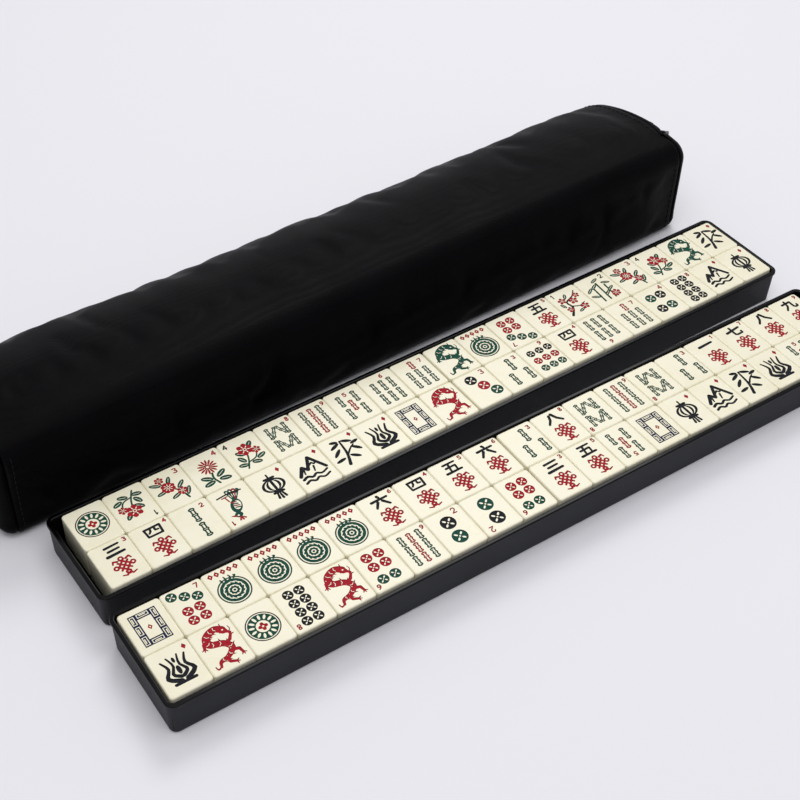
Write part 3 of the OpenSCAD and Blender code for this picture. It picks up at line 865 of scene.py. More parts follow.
def tape_piece(name, sign, left, right, paint):
    """Woven tape from under the padding's edge to the bead of the teeth."""
    line, out = tape_path(left, right)
    inner = ROW_GAP / 2 + TOOTH_L
    profile = [(SLOT / 2 + 0.05, 0.4), (SLOT / 2 - 1.2, 0.46),
               (inner + 0.9, 0.4), (inner + 0.02, 0.5),
               (inner + 0.02, -0.5), (inner + 0.9, -0.4),
               (SLOT / 2 - 1.2, -0.4), (SLOT / 2 + 0.05, -0.4)]
    rows = []
    for w, t in profile:
        p = line + out * t * TAPE_T / 0.8
        rows.append(from_zip(p[:, 0], p[:, 1], np.full(len(line), sign * w)))
    points = np.concatenate(rows)
    n, k = len(line), len(profile)
    faces = []
    for a in range(k):
        b = (a + 1) % k
        for i in range(n - 1):
            faces.append((a * n + i, a * n + i + 1, b * n + i + 1, b * n + i))
    faces.append(tuple(a * n for a in range(k)))
    faces.append(tuple(a * n + n - 1 for a in range(k))[::-1])
    return piece(name, points, faces, paint)


# Stitches
def stitch_piece(name, runs, paint, pitch=4.2, length=3.1, radius=0.32):
    """Rows of short thread lengths, each sunk a little into the cloth that it holds."""
    points, faces = [], []
    sides = 6
    for line, out in runs:
        run = np.r_[0, np.cumsum(np.linalg.norm(np.diff(line, axis=0), axis=1))]
        for start in np.arange(1.5, run[-1] - length - 1, pitch):
            ends = [np.array([np.interp(start + t * length, run, line[:, i]) for i in range(3)])
                    for t in (0, 1)]
            up = np.array([np.interp(start + length / 2, run, out[:, i]) for i in range(3)])
            up /= np.linalg.norm(up)
            ahead = (ends[1] - ends[0]) / np.linalg.norm(ends[1] - ends[0])
            cross = np.cross(ahead, up)
            base = len(points)
            for t, thick, sink in ((0, 0.35, -0.28), (0.12, 0.85, 0.0), (0.5, 1.0, 0.1),
                                   (0.88, 0.85, 0.0), (1, 0.35, -0.28)):
                centre = ends[0] + (ends[1] - ends[0]) * t + up * sink * radius * 2
                for k in range(sides):
                    a = 2 * math.pi * k / sides
                    points.append(centre + radius * thick * (math.cos(a) * cross + math.sin(a) * up))
            for ring in range(4):
                for k in range(sides):
                    a, b = base + ring * sides + k, base + ring * sides + (k + 1) % sides
                    faces.append((a, b, b + sides, a + sides))
            faces.append(tuple(base + k for k in range(sides))[::-1])
            faces.append(tuple(base + 4 * sides + k for k in range(sides)))
    return piece(name, np.array(points), faces, paint, fix=False)


def wrap_run(s, x, free, lift=0.08):
    """A line on the wrap's skin; s, x and the distance to the free edge are arrays."""
    p, n = skin(s, wrap_depth(s, x, free) - lift)
    return (np.stack([x, p[:, 0], p[:, 1]], -1), np.stack([x * 0, n[:, 0], n[:, 1]], -1))


def end_run(p, slot, side, lid):
    h = end_height(p, slot, lid)
    step = 0.4
    dy = (end_height(p + [step, 0], slot, lid) - h) / step
    dz = (end_height(p + [0, step], slot, lid) - h) / step
    n = np.stack([np.full(len(p), float(side)), -dy, -dz], -1)
    n /= np.linalg.norm(n, axis=1, keepdims=True)
    return np.stack([side * h, p[:, 0], p[:, 1]], -1) + n * 0.08, n


# How far the stitches run from the zip and from the wrap's ends, and on the ends from the zip
SEW_ZIP, SEW_RIM, SEW_END = 4.2, 3.6, 4.0


def stitch_runs(lid):
    """Lines that the stitches of the lid or the base follow, each with the way out of the cloth."""
    s_slot = cut_at(SLOT / 2 if lid else -SLOT / 2)
    x = np.linspace(-HALF + 4, HALF - 4, 240)
    runs = [wrap_run(np.full(240, s_slot + (-SEW_ZIP if lid else SEW_ZIP)), x, SEW_ZIP)]
    s0, s1 = (FOLD_S + CREASE, s_slot - 4) if lid else (s_slot + 4, FOLD_S - CREASE + ROUND)
    s = np.linspace(s0, s1, 160)
    off_floor = skin(s)[0][:, 1] > 2.0
    cuts = np.flatnonzero(np.diff(off_floor.astype(int))) + 1
    rim, slot = end_region(lid)
    polygon = np.concatenate([rim, slot[1:-1]])
    for side in (-1, 1):
        p, out = wrap_run(s, np.full(160, side * (HALF - SEW_RIM)), abs(s - s_slot))
        for block in np.split(np.arange(160), cuts):
            if off_floor[block[0]] and len(block) > 4:
                runs.append((p[block], out[block]))
        for a, b in zip(slot[:-1], slot[1:]):
            long = np.hypot(*(b - a))
            if long < 14:
                continue
            d = (b - a) / long
            n = np.array([-d[1], d[0]])
            if not inside(((a + b) / 2 + n)[None], polygon)[0]:
                n = -n
            t = np.linspace(7.5, long - 7.5, 60)
            runs.append(end_run(a + np.outer(t, d) + n * SEW_END, slot, side, lid))
    return runs


# Drawings on the tiles
IVORY, RED, GREEN, BLACK, NAVY = range(5)


def spoke(x, y, reach, angle):
    """The point at a distance from another, in a direction in radians."""
    return x + reach * math.cos(angle), y + reach * math.sin(angle)


def oval(art, ink, x, y, a, b=None, turn=0.0, count=18):
    b = a if b is None else b
    t = math.radians(turn)
    points = []
    for k in range(count):
        p, q = a * math.cos(2 * math.pi * k / count), b * math.sin(2 * math.pi * k / count)
        points.append((x + p * math.cos(t) - q * math.sin(t), y + p * math.sin(t) + q * math.cos(t)))
    art.append((ink, points))


def bar(art, ink, a, b, ra, rb=None, caps=5):
    """A stroke with round ends that may taper."""
    rb = ra if rb is None else rb
    dx, dy = b[0] - a[0], b[1] - a[1]
    d = math.hypot(dx, dy)
    if d <= abs(ra - rb) + 1e-6:
        oval(art, ink, *(a if ra > rb else b), max(ra, rb), count=12)
        return
    way, lean = math.atan2(dy, dx), math.acos((ra - rb) / d)
    sweep = 2 * math.pi - 2 * lean
    points = [spoke(b[0], b[1], rb, way - lean + 2 * lean * k / caps) for k in range(caps + 1)]
    points += [spoke(a[0], a[1], ra, way + lean + sweep * k / caps) for k in range(caps + 1)]
    art.append((ink, points))


def line(art, ink, points, r0, r1=None):
    r1 = r0 if r1 is None else r1
    n = len(points) - 1
    for i in range(n):
        bar(art, ink, points[i], points[i + 1], r0 + (r1 - r0) * i / n, r0 + (r1 - r0) * (i + 1) / n)


def shape(art, ink, *points):
    art.append((ink, list(points)))


def curve(points, count=24):
    """A smooth line through points."""
    p = [points[0]] + list(points) + [points[-1]]
    out = []
    spans = len(points) - 1
    for k in range(count + 1):
        t = k / count * spans
        i = min(int(t), spans - 1)
        t -= i
        a, b, c, d = (np.array(q, float) for q in p[i:i + 4])
        out.append(tuple(0.5 * (2 * b + (c - a) * t + (2 * a - 5 * b + 4 * c - d) * t * t
                                + (3 * b - 3 * c + d - a) * t ** 3)))
    return out


DIGITS = {
    1: [(0.4, 2.3), (1.1, 3), (1.1, 0)],
    2: [(0.1, 2.4), (0.5, 3), (1.5, 3), (1.9, 2.3), (1.7, 1.6), (0.1, 0), (2, 0)],
    3: [(0.1, 2.8), (0.9, 3), (1.8, 2.7), (1.6, 1.9), (0.9, 1.6), (1.8, 1.1), (1.8, 0.3), (0.9, 0),
        (0, 0.3)],
    4: [(1.5, 0), (1.5, 3), (0, 0.9), (2.1, 0.9)],
    5: [(1.9, 3), (0.3, 3), (0.2, 1.7), (1.3, 1.9), (2, 1.2), (1.6, 0.2), (0.9, 0), (0, 0.3)],
    6: [(1.7, 3), (0.7, 2.4), (0.1, 1.2), (0.3, 0.3), (1, 0), (1.8, 0.4), (1.8, 1.3), (1, 1.7),
        (0.2, 1.2)],
    7: [(0, 3), (2, 3), (0.8, 0)],
    8: [(1, 1.6), (0.2, 2.2), (0.5, 3), (1.5, 3), (1.8, 2.2), (1, 1.6), (0.1, 0.8), (0.5, 0),
        (1.5, 0), (1.9, 0.8), (1, 1.6)],
    9: [(0.3, 0), (1.3, 0.6), (1.9, 1.8), (1.7, 2.7), (1, 3), (0.2, 2.6), (0.2, 1.7), (1, 1.3),
        (1.8, 1.8)],
}


def digit(art, number, x, y, ink=RED, tall=4.2):
    k = (tall - 0.7) / 3
    line(art, ink, [(x + (a - 1) * k, y + (b - 1.5) * k) for a, b in DIGITS[number]], 0.36)


def dot(art, ink, x, y, r):
    """A round with four petals left light, and a light eye."""
    oval(art, ink, x, y, r, count=22)
    for k in range(4):
        a = math.radians(90 * k + 45)
        oval(art, IVORY, *spoke(x, y, 0.50 * r, a), 0.26 * r, 0.13 * r, 90 * k + 45, 10)
    oval(art, IVORY, x, y, 0.12 * r, count=8)


def stick(art, ink, x, y, tall, wide, turn=0.0):
    """A length of cane: three knobs joined by a shaft with light slots."""
    c, s = math.cos(math.radians(turn)), math.sin(math.radians(turn))

    def at(p, q):
        return (x + p * c - q * s, y + p * s + q * c)

    half = tall / 2 - wide * 0.3
    bar(art, ink, at(0, -half), at(0, half), wide * 0.38)
    for q in (-half, 0, half):
        bar(art, ink, at(-wide * 0.24, q), at(wide * 0.22, q), wide * 0.30)
    for q in (-half / 2, half / 2):
        bar(art, IVORY, at(0, q - tall * 0.085), at(0, q + tall * 0.085), wide * 0.13, caps=3)
    for q in (-half, 0, half):
        bar(art, IVORY, at(-wide * 0.2, q), at(wide * 0.2, q), wide * 0.055, caps=3)


def wheel(art):
    oval(art, BLACK, 0, -0.5, 9.2, count=48)
    oval(art, IVORY, 0, -0.5, 8.55, count=48)
    oval(art, GREEN, 0, -0.5, 8.0, count=48)
    for k in range(13):
        a = 360 / 13 * k
        oval(art, IVORY, *spoke(0, -0.5, 5.9, math.radians(a)), 1.55, 0.72, a, 12)
    oval(art, IVORY, 0, -0.5, 3.7, count=28)
    for k in range(4):
        oval(art, RED, *spoke(0, -0.5, 1.35, math.radians(90 * k)), 1.35, 1.05, 90 * k, 14)
    oval(art, IVORY, 0, -0.5, 0.6, count=10)


DOTS = {
    2: [(4.6, -0.6, 5.4, BLACK), (4.6, -0.6, -5.6, GREEN)],
    3: [(3.75, -2.3, 8, BLACK), (3.75, 2, 0.7, RED), (3.75, 6.5, -6.3, GREEN)],
    4: [(3.6, -3.6, 5.6, GREEN), (3.6, 4.4, 5.6, BLACK),
        (3.6, -3.6, -5.6, BLACK), (3.6, 4.4, -5.6, GREEN)],
    6: [(3.2, -3.7, 7.9, GREEN), (3.2, 3.7, 7.9, GREEN)]
       + [(3.2, x, y, RED) for x in (-3.7, 3.7) for y in (-1.25, -8.3)],
    7: [(3, -6.6, 10.4, GREEN), (3, -0.5, 7.5, GREEN), (3, 5.5, 4.6, GREEN)]
       + [(3, x, y, RED) for x in (-3.4, 3.4) for y in (-1.9, -8.4)],
    8: [(3, x, y, BLACK) for x in (-3.3, 3.3) for y in (9.6, 3.2, -3.2, -9.6)],
    9: [(2.75, x, y, ink) for y, ink in ((6.7, BLACK), (-0.5, RED), (-7.7, GREEN))
        for x in (-5.1, 1.3, 7.7)],
}
DOT_INDEX = {2: (6.8, 11.2), 3: (7.6, 11), 4: (8.6, 11.3), 6: (8.3, 11.2), 7: (7.9, 11),
             8: (8.6, 10.9), 9: (5.6, 12)}


def dots(art, number):
    for r, x, y, ink in DOTS[number]:
        dot(art, ink, x, y, r)
    digit(art, number, *DOT_INDEX[number], RED, 3.6 if number >= 6 else 4.2)


# Where the digit stands, then each cane's middle, length, width and ink, and how far it leans
CANES = {
    2: ((7.2, 10.4), [(1, y, 10.7, 3.7, GREEN) for y in (5.8, -6)]),
    3: ((7.9, 10.4), [(x, y, 10.4, 3.5, GREEN) for x, y in ((2.6, 6.2), (-2.7, -5.6), (8.1, -5.6))]),
    5: ((0.4, 9.4), [(x, y, 9.2, 3.2, ink) for x, y, ink in (
        (-4.6, 5.4, GREEN), (5.4, 5.4, GREEN), (0.4, -0.5, RED), (-4.6, -6.3, GREEN), (5.4, -6.3, GREEN))]),
    6: ((3.4, 11.2), [(x, y, 9.2, 3.1, GREEN) for x in (-5.2, 0.5, 6.2) for y in (3.6, -7.0)]),
    7: ((7.2, 9.8), [(0.5, 8.6, 6.9, 3.2, RED)]
        + [(x, y, 7.2, 3.1, GREEN) for x in (-5.2, 0.5, 6.2) for y in (0.6, -7.5)]),
    8: ((9.2, 11.2), [(x, y, tall, wide, GREEN, turn * sign) for sign, y in ((1, 5.7), (-1, -5.2))
                      for x, tall, wide, turn in ((-5.4, 9.6, 2.7, 0), (5.4, 9.6, 2.7, 0),
                                                  (-2.35, 8.6, 2.5, -27), (2.35, 8.6, 2.5, 27))]),
    9: ((9.4, 10.8), [(x, y, 7.0, 3.1, ink) for x, ink in ((-5.6, GREEN), (0, RED), (5.6, GREEN))
                      for y in (7.6, 0, -7.6)]),
}


def canes(art, number):
    index, sticks = CANES[number]
    for x, y, tall, wide, ink, *turn in sticks:
        stick(art, ink, x, y, tall, wide, *turn)
    digit(art, number, *index, RED, 3.4)


NUMERALS = {
    1: [([(-5, 0), (5, 0.5)], 0.85)],
    2: [([(-3.4, 2), (3.4, 2.4)], 0.75), ([(-5, -2.4), (5, -2)], 0.9)],
    3: [([(-4, 3), (4, 3.4)], 0.7), ([(-3.2, 0), (3.2, 0.3)], 0.7), ([(-5, -3.2), (5, -2.8)], 0.85)],
    4: [([(-4.6, 2.8), (4.6, 3.0), (4.2, -2.8), (-4.2, -2.8), (-4.6, 2.8)], 0.65),
        ([(-1.2, 2.8), (-1.6, 0.6), (-2.8, -0.6)], 0.6), ([(1.2, 2.8), (1.2, 0.4), (2.9, 0.2)], 0.6)],
    5: [([(-3.8, 3.3), (3.8, 3.5)], 0.65), ([(-0.6, 3.3), (-1.6, -3.2)], 0.65),
        ([(-3.4, 0.5), (2.9, 0.7), (2.5, -3.2)], 0.65), ([(-5, -3.4), (5, -3.2)], 0.75)],
    6: [([(0, 4), (0.5, 2.8)], 0.8), ([(-5, 1.4), (5, 1.7)], 0.75),
        ([(-1.6, 0), (-4.2, -3.6)], 0.75), ([(1.4, 0), (4.2, -3.6)], 0.8)],
    7: [([(-5, 0.6), (5, 1.9)], 0.8),
        ([(-0.9, 3.8), (-0.7, -2.6), (0.4, -3.3), (4.4, -3.1), (4.5, -1.6)], 0.7)],
    8: [([(-1.2, 2.8), (-2.4, -0.6), (-4.9, -3.4)], 0.75), ([(0.6, 3.4), (2.2, -0.4), (5, -3.3)], 0.85)],
    9: [([(-1.2, 3.8), (-1.6, -0.4), (-4.4, -3.6)], 0.7),
        ([(-4.4, 1.9), (2.0, 2.2), (2.0, -2.2), (3.2, -3.3), (4.8, -3.0), (4.9, -1.6)], 0.7)],
}


def knot(art, ink, x, y, r, k=1.0):
    """A knotted cord: a lattice with a loop at each corner and two tails."""
    step = r * 0.36
    for i in (-1, 0, 1):
        for sx in (1, -1):
            a = (x + sx * (-r * 0.62 + i * step), y + r * 0.62 + i * step)
            b = (x + sx * (r * 0.62 + i * step), y - r * 0.62 + i * step)
            bar(art, ink, a, b, 0.62 * k)
    for dx, dy in ((0, 1.12), (0, -1.12), (1.05, 0), (-1.05, 0)):
        oval(art, ink, x + dx * r, y + dy * r, 1.7 * k, count=14)
        oval(art, IVORY, x + dx * r, y + dy * r, 0.62 * k, count=10)
    tails = (((0.6, -1.2), (1.6, -1.5), (3.9, -1.32), 0.68, 0.4),
             ((2.4, 0.9), (4.4, 1.1), (5.2, 0.72), 0.7, 0.45))
    for sx in (1, -1):
        for *bends, r0, r1 in tails:
            line(art, ink, [(x + sx * a, y + r * b) for a, b in bends], r0 * k, r1 * k)


def numeral(art, number):
    for points, r in NUMERALS[number]:
        line(art, BLACK, [(0.9 + a * 0.98, 8.0 + b * 1.0) for a, b in points], r * 1.2, r * 1.0)
    knot(art, RED, 1.2, -4.3, 4.5)
    digit(art, number, 8.9, 12.0, RED, 3.2)


def lozenge(art, ink, x, y, a, b):
    shape(art, ink, (x - a, y), (x, y - b), (x + a, y), (x, y + b))


def lantern(art):
    bar(art, BLACK, (0, 9.2), (0, 6.6), 0.5)
    bar(art, BLACK, (-2.5, 6.3), (2.5, 6.3), 0.8)
    oval(art, BLACK, 0, 0.9, 6.2, 4.9, 0, 28)
    oval(art, IVORY, 0, 0.9, 4.7, 3.9, 0, 24)
    oval(art, BLACK, 0, 0.9, 3.7, 4.0, 0, 24)
    oval(art, IVORY, 0, 0.9, 2.3, 3.7, 0, 20)
    bar(art, BLACK, (0, 4.6), (0, -2.8), 0.75)
    bar(art, BLACK, (-2.5, -4.5), (2.5, -4.5), 0.8)
    for x in (-1.9, 0, 1.9):
        line(art, BLACK, [(x * 0.6, -4.9), (x, -8.6 - 0.5 * (x == 0))], 0.5, 0.7)
    lozenge(art, RED, 7.6, 10.2, 1.3, 1.9)


def spray(art):
    line(art, BLACK, curve([(-3.0, -8.6), (-0.4, -1.0), (0.6, 8.6)], 7), 0.95, 0.5)
    line(art, BLACK, curve([(-0.8, -2.4), (3.0, 1.4), (5.6, 3.0)], 5), 0.6, 0.4)
    for x, y, turn, long in ((-3.4, 6.4, 205, 6.4), (3.6, 7.2, -30, 6.2), (-4.6, 1.4, 222, 6.8),
                             (6.0, 0.2, -48, 6.4), (7.0, 4.6, 12, 5.0), (2.6, -4.6, -40, 6.2),
                             (-5.6, -4.0, 190, 6.0), (-2.6, 9.2, 160, 4.6)):
        oval(art, BLACK, x, y, long / 2, 1.05, turn, 14)
    lozenge(art, RED, 8.4, 11.2, 1.3, 1.9)


def peaks(art):
    line(art, BLACK, [(-7.2, -2.4), (-3.8, 3.2), (-1.6, 0.2), (2.2, 8.2), (7.4, -2.4)], 1.0, 0.9)
    line(art, BLACK, [(0.4, 2.8), (2.0, 3.9), (3.0, 2.4), (4.4, 3.4)], 0.6, 0.5)
    line(art, BLACK, [(2.0, 1.2), (1.0, -2.2)], 0.6, 0.4)
    line(art, BLACK, [(-3.8, 0.8), (-4.4, -2.0)], 0.6, 0.4)
    for y, grow in ((-5.0, 0.85), (-8.0, 0.75)):
        line(art, BLACK, curve([(-7.0, y), (-4.4, y + 1.1), (-1.9, y - 0.4), (0.6, y + 1.0), (3.2, y - 0.4),
                                (6.8, y + 0.9)], 14), grow, 0.6)
    lozenge(art, RED, 8.2, 10.6, 1.3, 1.9)


def flame(art):
    for side in (1, -1):
        for tongue, count, r0, r1 in (
                (((1.6, -7.2), (6.4, -3.6), (4.0, 1.4), (5.8, 6.6)), 9, 1.35, 0.45),
                (((0.5, -5.0), (3.3, -2.4), (1.4, 2.2), (2.6, 7.6)), 8, 1.05, 0.4)):
            line(art, BLACK, curve([(side * x, y) for x, y in tongue], count), r0, r1)
    oval(art, BLACK, 0, -1.0, 1.1, 2.7, 0, 16)
    oval(art, BLACK, 0, 5.2, 0.75, 1.7, 0, 12)
    bar(art, BLACK, (-4.8, -8.2), (4.8, -8.2), 0.85)
    lozenge(art, RED, 8.2, 10.4, 1.3, 1.9)


def serpent(art, ink):
    """A long scaled beast in an S."""
    spine = curve([(5.6, 9.2), (1.6, 11.0), (-3.9, 8.3), (-4.6, 3.6), (1.8, 1.2), (4.6, -3.0), (0.6, -7.0),
                   (-4.2, -8.2), (-5.6, -11.3)], 34)
    radii = np.interp(np.linspace(0, 1, len(spine)), [0, 0.2, 0.6, 1], [1.75, 2.15, 1.9, 0.6])
    for i in range(len(spine) - 1):
        bar(art, ink, spine[i], spine[i + 1], radii[i], radii[i + 1], 4)
        if i % 2 == 0 and i < 31:
            d = np.subtract(spine[i + 1], spine[i])
            d = d / np.hypot(*d)
            n = np.array([-d[1], d[0]])
            tip = np.array(spine[i]) + n * (radii[i] + 1.5) - d * 0.9
            shape(art, ink, tuple(np.array(spine[i]) + n * radii[i] * 0.5 - d * 0.2),
                  tuple(np.array(spine[i]) + n * radii[i] * 0.5 + d * 1.3), tuple(tip))
    for i in range(4, len(spine) - 5, 2):
        d = np.subtract(spine[i + 1], spine[i])
        d = d / np.hypot(*d)
        n = np.array([-d[1], d[0]]) * radii[i] * 0.58
        mid = np.array(spine[i])
        line(art, IVORY, [tuple(mid + n), tuple(mid + d * 0.55), tuple(mid - n)], 0.17)
    for foot, knee, toe in (((-3.6, 6.2), (-6.8, 5.2), (-7.6, 2.6)),
                            ((2.6, 0.4), (5.8, 1.6), (7.6, 4.2)),
                            ((4.0, -4.6), (7.2, -5.6), (7.8, -8.4)),
                            ((-0.6, -7.6), (-0.2, -10.4), (2.4, -11.6))):
        line(art, ink, [foot, knee, toe], 1.1, 0.75)
        for spread in (-50, 0, 50):
            a = math.atan2(toe[1] - knee[1], toe[0] - knee[0]) + math.radians(spread)
            bar(art, ink, toe, spoke(*toe, 1.8, a), 0.5, 0.25, 3)
    oval(art, ink, 5.2, 8.2, 2.6, 1.9, -35, 16)
    bar(art, ink, (6.2, 7.2), (8.0, 5.6), 1.0, 0.7)
    for a, b in (((4.2, 9.8), (2.8, 12.6)), ((5.2, 10.0), (5.6, 12.7))):
        bar(art, ink, a, b, 0.5, 0.25)
    line(art, ink, curve([(7.8, 6.2), (9.0, 7.6), (8.6, 9.6)], 4), 0.3, 0.2)
    oval(art, IVORY, 5.4, 8.6, 0.55, 0.45, 0, 8)
    line(art, ink, curve([(-5.4, -10.8), (-7.6, -11.9), (-8.2, -9.8)], 4), 0.55, 0.3)


def medallion(art):
    for k in range(5):
        lozenge(art, RED, -7.3 + k * 3.65, 11.3, 1.6, 2.0)
        lozenge(art, IVORY, -7.3 + k * 3.65, 11.3, 0.4, 0.55)
    cx, cy = -0.4, -2.4
    oval(art, GREEN, cx, cy, 9.0, count=40)
    oval(art, IVORY, cx, cy, 8.2, count=40)
    oval(art, GREEN, cx, cy, 7.6, count=36)
    for ring, (count, reach, long) in enumerate(((13, 5.7, 1.9), (9, 3.2, 1.5))):
        for k in range(count):
            a = math.radians(360 / count * (k + 0.5 * ring))
            x, y = spoke(cx, cy, reach, a)
            lean = a + math.radians(58)
            scale = [spoke(x, y, -long, lean), (x, y), spoke(x, y, long, lean + 0.9)]
            line(art, IVORY, curve(scale, 4), 0.27)
    oval(art, IVORY, cx, cy, 1.35, count=14)
    oval(art, GREEN, cx, cy, 0.75, count=10)
    for x, tall in ((-3.6, 9.3), (-1.2, 10.4), (1.4, 10.5), (3.8, 9.2)):
        flick = [(cx + x * 0.9, cy + 7.6), (cx + x * 1.1 + 0.5, cy + 8.8), (cx + x, cy + tall)]
        line(art, GREEN, curve(flick, 4), 0.7, 0.3)


def key_frame(art):
    def rect(ink, x, y, w, h):
        shape(art, ink, (x - w / 2, y - h / 2), (x + w / 2, y - h / 2),
              (x + w / 2, y + h / 2), (x - w / 2, y + h / 2))

    rect(NAVY, 0, 0, 15.2, 21.6)
    rect(IVORY, 0, 0, 7.4, 13.8)
    for side in (1, -1):
        for y in (-7.1, 0, 7.1):
            rect(IVORY, side * 5.75, y, 2.5, 5.8)
            rect(NAVY, side * 5.75, y, 1.55, 4.85)
            rect(IVORY, side * (5.75 + 0.25), y, 0.62, 3.1)
        rect(IVORY, 0, side * 8.95, 6.4, 2.5)
        rect(NAVY, 0, side * 8.95, 5.5, 1.55)
        rect(IVORY, 0, side * 9.15, 3.6, 0.62)
    lozenge(art, RED, 0, 0, 1.3, 1.8)
    lozenge(art, IVORY, 0, 0, 0.45, 0.65)


def blossom(art, x, y, r, ink=RED, petals=6):
    r = r * 1.15
    for k in range(petals):
        a = math.radians(360 / petals * k + 15)
        oval(art, ink, *spoke(x, y, 0.58 * r, a), 0.5 * r, 0.38 * r, math.degrees(a), 12)
    for k in range(petals):
        a = math.radians(360 / petals * (k + 0.5) + 15)
        oval(art, IVORY, *spoke(x, y, 0.5 * r, a), 0.2 * r, 0.07 * r, math.degrees(a), 8)
    oval(art, IVORY, x, y, 0.26 * r, count=12)
    oval(art, ink, x, y, 0.15 * r, count=10)


def leaf(art, x, y, length, wide, turn, ink=GREEN):
    length, wide = length * 1.08, wide * 1.25
    oval(art, ink, x, y, length / 2, wide / 2, turn, 14)
    c, s = math.cos(math.radians(turn)), math.sin(math.radians(turn))
    dx, dy = c * length * 0.3, s * length * 0.3
    bar(art, IVORY, (x - dx, y - dy), (x + dx, y + dy), 0.16, caps=2)


def leaves(art, size, *places):
    for x, y, turn in places:
        leaf(art, x, y, *size, turn)


def flower(art, kind, number):
    """Flowers on stalks with leaves; each kind has its own growth."""
    if kind == 0:
        line(art, GREEN, curve([(-4.6, -10.6), (-1.2, -4.4), (0.6, 1.6)], 6), 0.5)
        line(art, GREEN, curve([(-2.4, -6.4), (3.2, -5.0), (5.6, -0.8)], 6), 0.45)
        leaves(art, (5.6, 2.5), (-4.6, -3.0, 120), (-5.8, -7.2, 165), (2.2, -8.2, -20),
               (6.4, -5.2, 20), (-3.4, 1.4, 140), (4.6, 5.8, 50))
        blossom(art, 0.6, 3.4, 3.9)
        blossom(art, 6.0, 0.2, 2.3)
        spot = (-8.2, 10.6)
    elif kind == 1:
        line(art, GREEN, curve([(5.2, -10.8), (2.8, -3.0), (-2.6, 2.2), (-4.4, 8.2)], 9), 0.6, 0.4)
        leaves(art, (6.2, 2.1), (7.2, -6.0, 60), (0.0, -6.2, 200), (5.6, 0.4, 40),
               (-6.0, -0.8, 190), (0.8, 5.8, 60), (-7.2, 6.0, 150))
        blossom(art, -1.4, 1.4, 3.4, petals=8)
        blossom(art, -3.6, 8.4, 2.2)
        blossom(art, 4.2, -4.4, 2.5)
        spot = (7.6, 10.8)
    elif kind == 2:
        for x, top in ((-5.0, 6.0), (-0.6, 8.6), (3.6, 5.0)):
            for k in range(4):
                y = -10.2 + k * (top + 9) / 4
                bar(art, GREEN, (x + k * 0.3, y), (x + k * 0.3 + 0.25, y + (top + 9) / 4 - 0.9), 0.62)
        leaves(art, (5.8, 1.8), (-7.4, 2.4, 215), (-2.6, 4.4, 30), (1.4, 9.2, 20), (6.6, 4.4, -25),
               (5.8, -1.8, 25), (-7.6, -4.0, 150), (1.4, -4.6, 35))
        blossom(art, 6.0, -7.2, 2.7)
        spot = (7.8, 10.8)
    elif kind == 3:
        for k in range(14):
            a = math.radians(360 / 14 * k)
            oval(art, RED, *spoke(0.3, 3.0, 3.9, a), 1.9, 0.62, math.degrees(a), 12)
        for k in range(9):
            a = math.radians(40 * k + 10)
            oval(art, RED, *spoke(0.3, 3.0, 1.7, a), 1.0, 0.5, math.degrees(a), 10)
        line(art, GREEN, curve([(0.2, -2.4), (-0.8, -6.4), (0.6, -11)], 6), 0.6)
        leaves(art, (6.6, 2.7), (-4.4, -5.0, 150), (4.4, -4.6, 30), (-4.6, -9.0, 190), (4.9, -9.2, -15))
        spot = (8.2, 10.8)
    else:
        line(art, BLACK, curve([(-7.6, -9.8), (-2.8, -3.6), (-3.2, 2.2), (3.6, 5.2), (7.8, 9.4)], 12),
             0.85, 0.35)
        line(art, BLACK, curve([(-2.9, -2.2), (2.2, -4.6), (7.0, -3.0)], 6), 0.55, 0.3)
        for x, y, r in ((-5.0, 4.6, 2.4), (1.6, 1.6, 2.6), (6.2, 5.0, 2.0), (4.8, -6.2, 2.5),
                        (-5.2, -4.6, 2.1)):
            blossom(art, x, y, r, petals=5)
        leaves(art, (4.6, 1.8), (-0.8, 7.2, 60), (0.8, -8.4, 20), (-7.2, 0.2, 110))
        spot = (-7.6, 11.0)
    digit(art, number, *spot, RED if kind % 2 else BLACK, 4.0)


def bird(art):
    """A perched bird with a long tail."""
    for k, (ink, turn) in enumerate(((GREEN, 236), (RED, 250), (GREEN, 264), (GREEN, 279))):
        a = math.radians(turn)
        bar(art, ink, (-0.4, -2.6), spoke(-0.4, -2.6, 8.4, a), 0.7, 1.15)
        oval(art, IVORY, *spoke(-0.4, -2.6, 7.8, a), 0.5, count=8)
        bar(art, IVORY, spoke(-0.4, -2.6, 3.4, a), spoke(-0.4, -2.6, 5.8, a), 0.2, caps=2)
    oval(art, GREEN, 0.8, 0.6, 3.3, 5.2, -22, 24)
    oval(art, GREEN, 2.9, 6.9, 2.3, 2.1, 0, 18)
    bar(art, RED, (4.8, 7.1), (7.0, 6.2), 0.75, 0.2)
    for x, y in ((0.8, 10.6), (2.4, 11.2), (4.0, 10.8)):
        bar(art, RED, (2.8, 8.6), (x, y), 0.4, 0.55)
    oval(art, IVORY, 3.4, 7.3, 0.6, count=10)
    oval(art, IVORY, 0.1, 0.4, 2.1, 3.3, -22, 18)
    for k in range(4):
        bar(art, RED if k % 2 else GREEN, (-1.2 + k * 0.3, 2.6 - k * 1.5),
            (1.6 + k * 0.2, 1.6 - k * 1.5), 0.42)
    bar(art, RED, (2.6, -3.8), (3.4, -7.4), 0.4)
    bar(art, RED, (2.0, -7.8), (5.2, -7.6), 0.4)
    line(art, BLACK, curve([(-6.8, -8.6), (0, -9.4), (7.6, -8.8)], 6), 0.5)


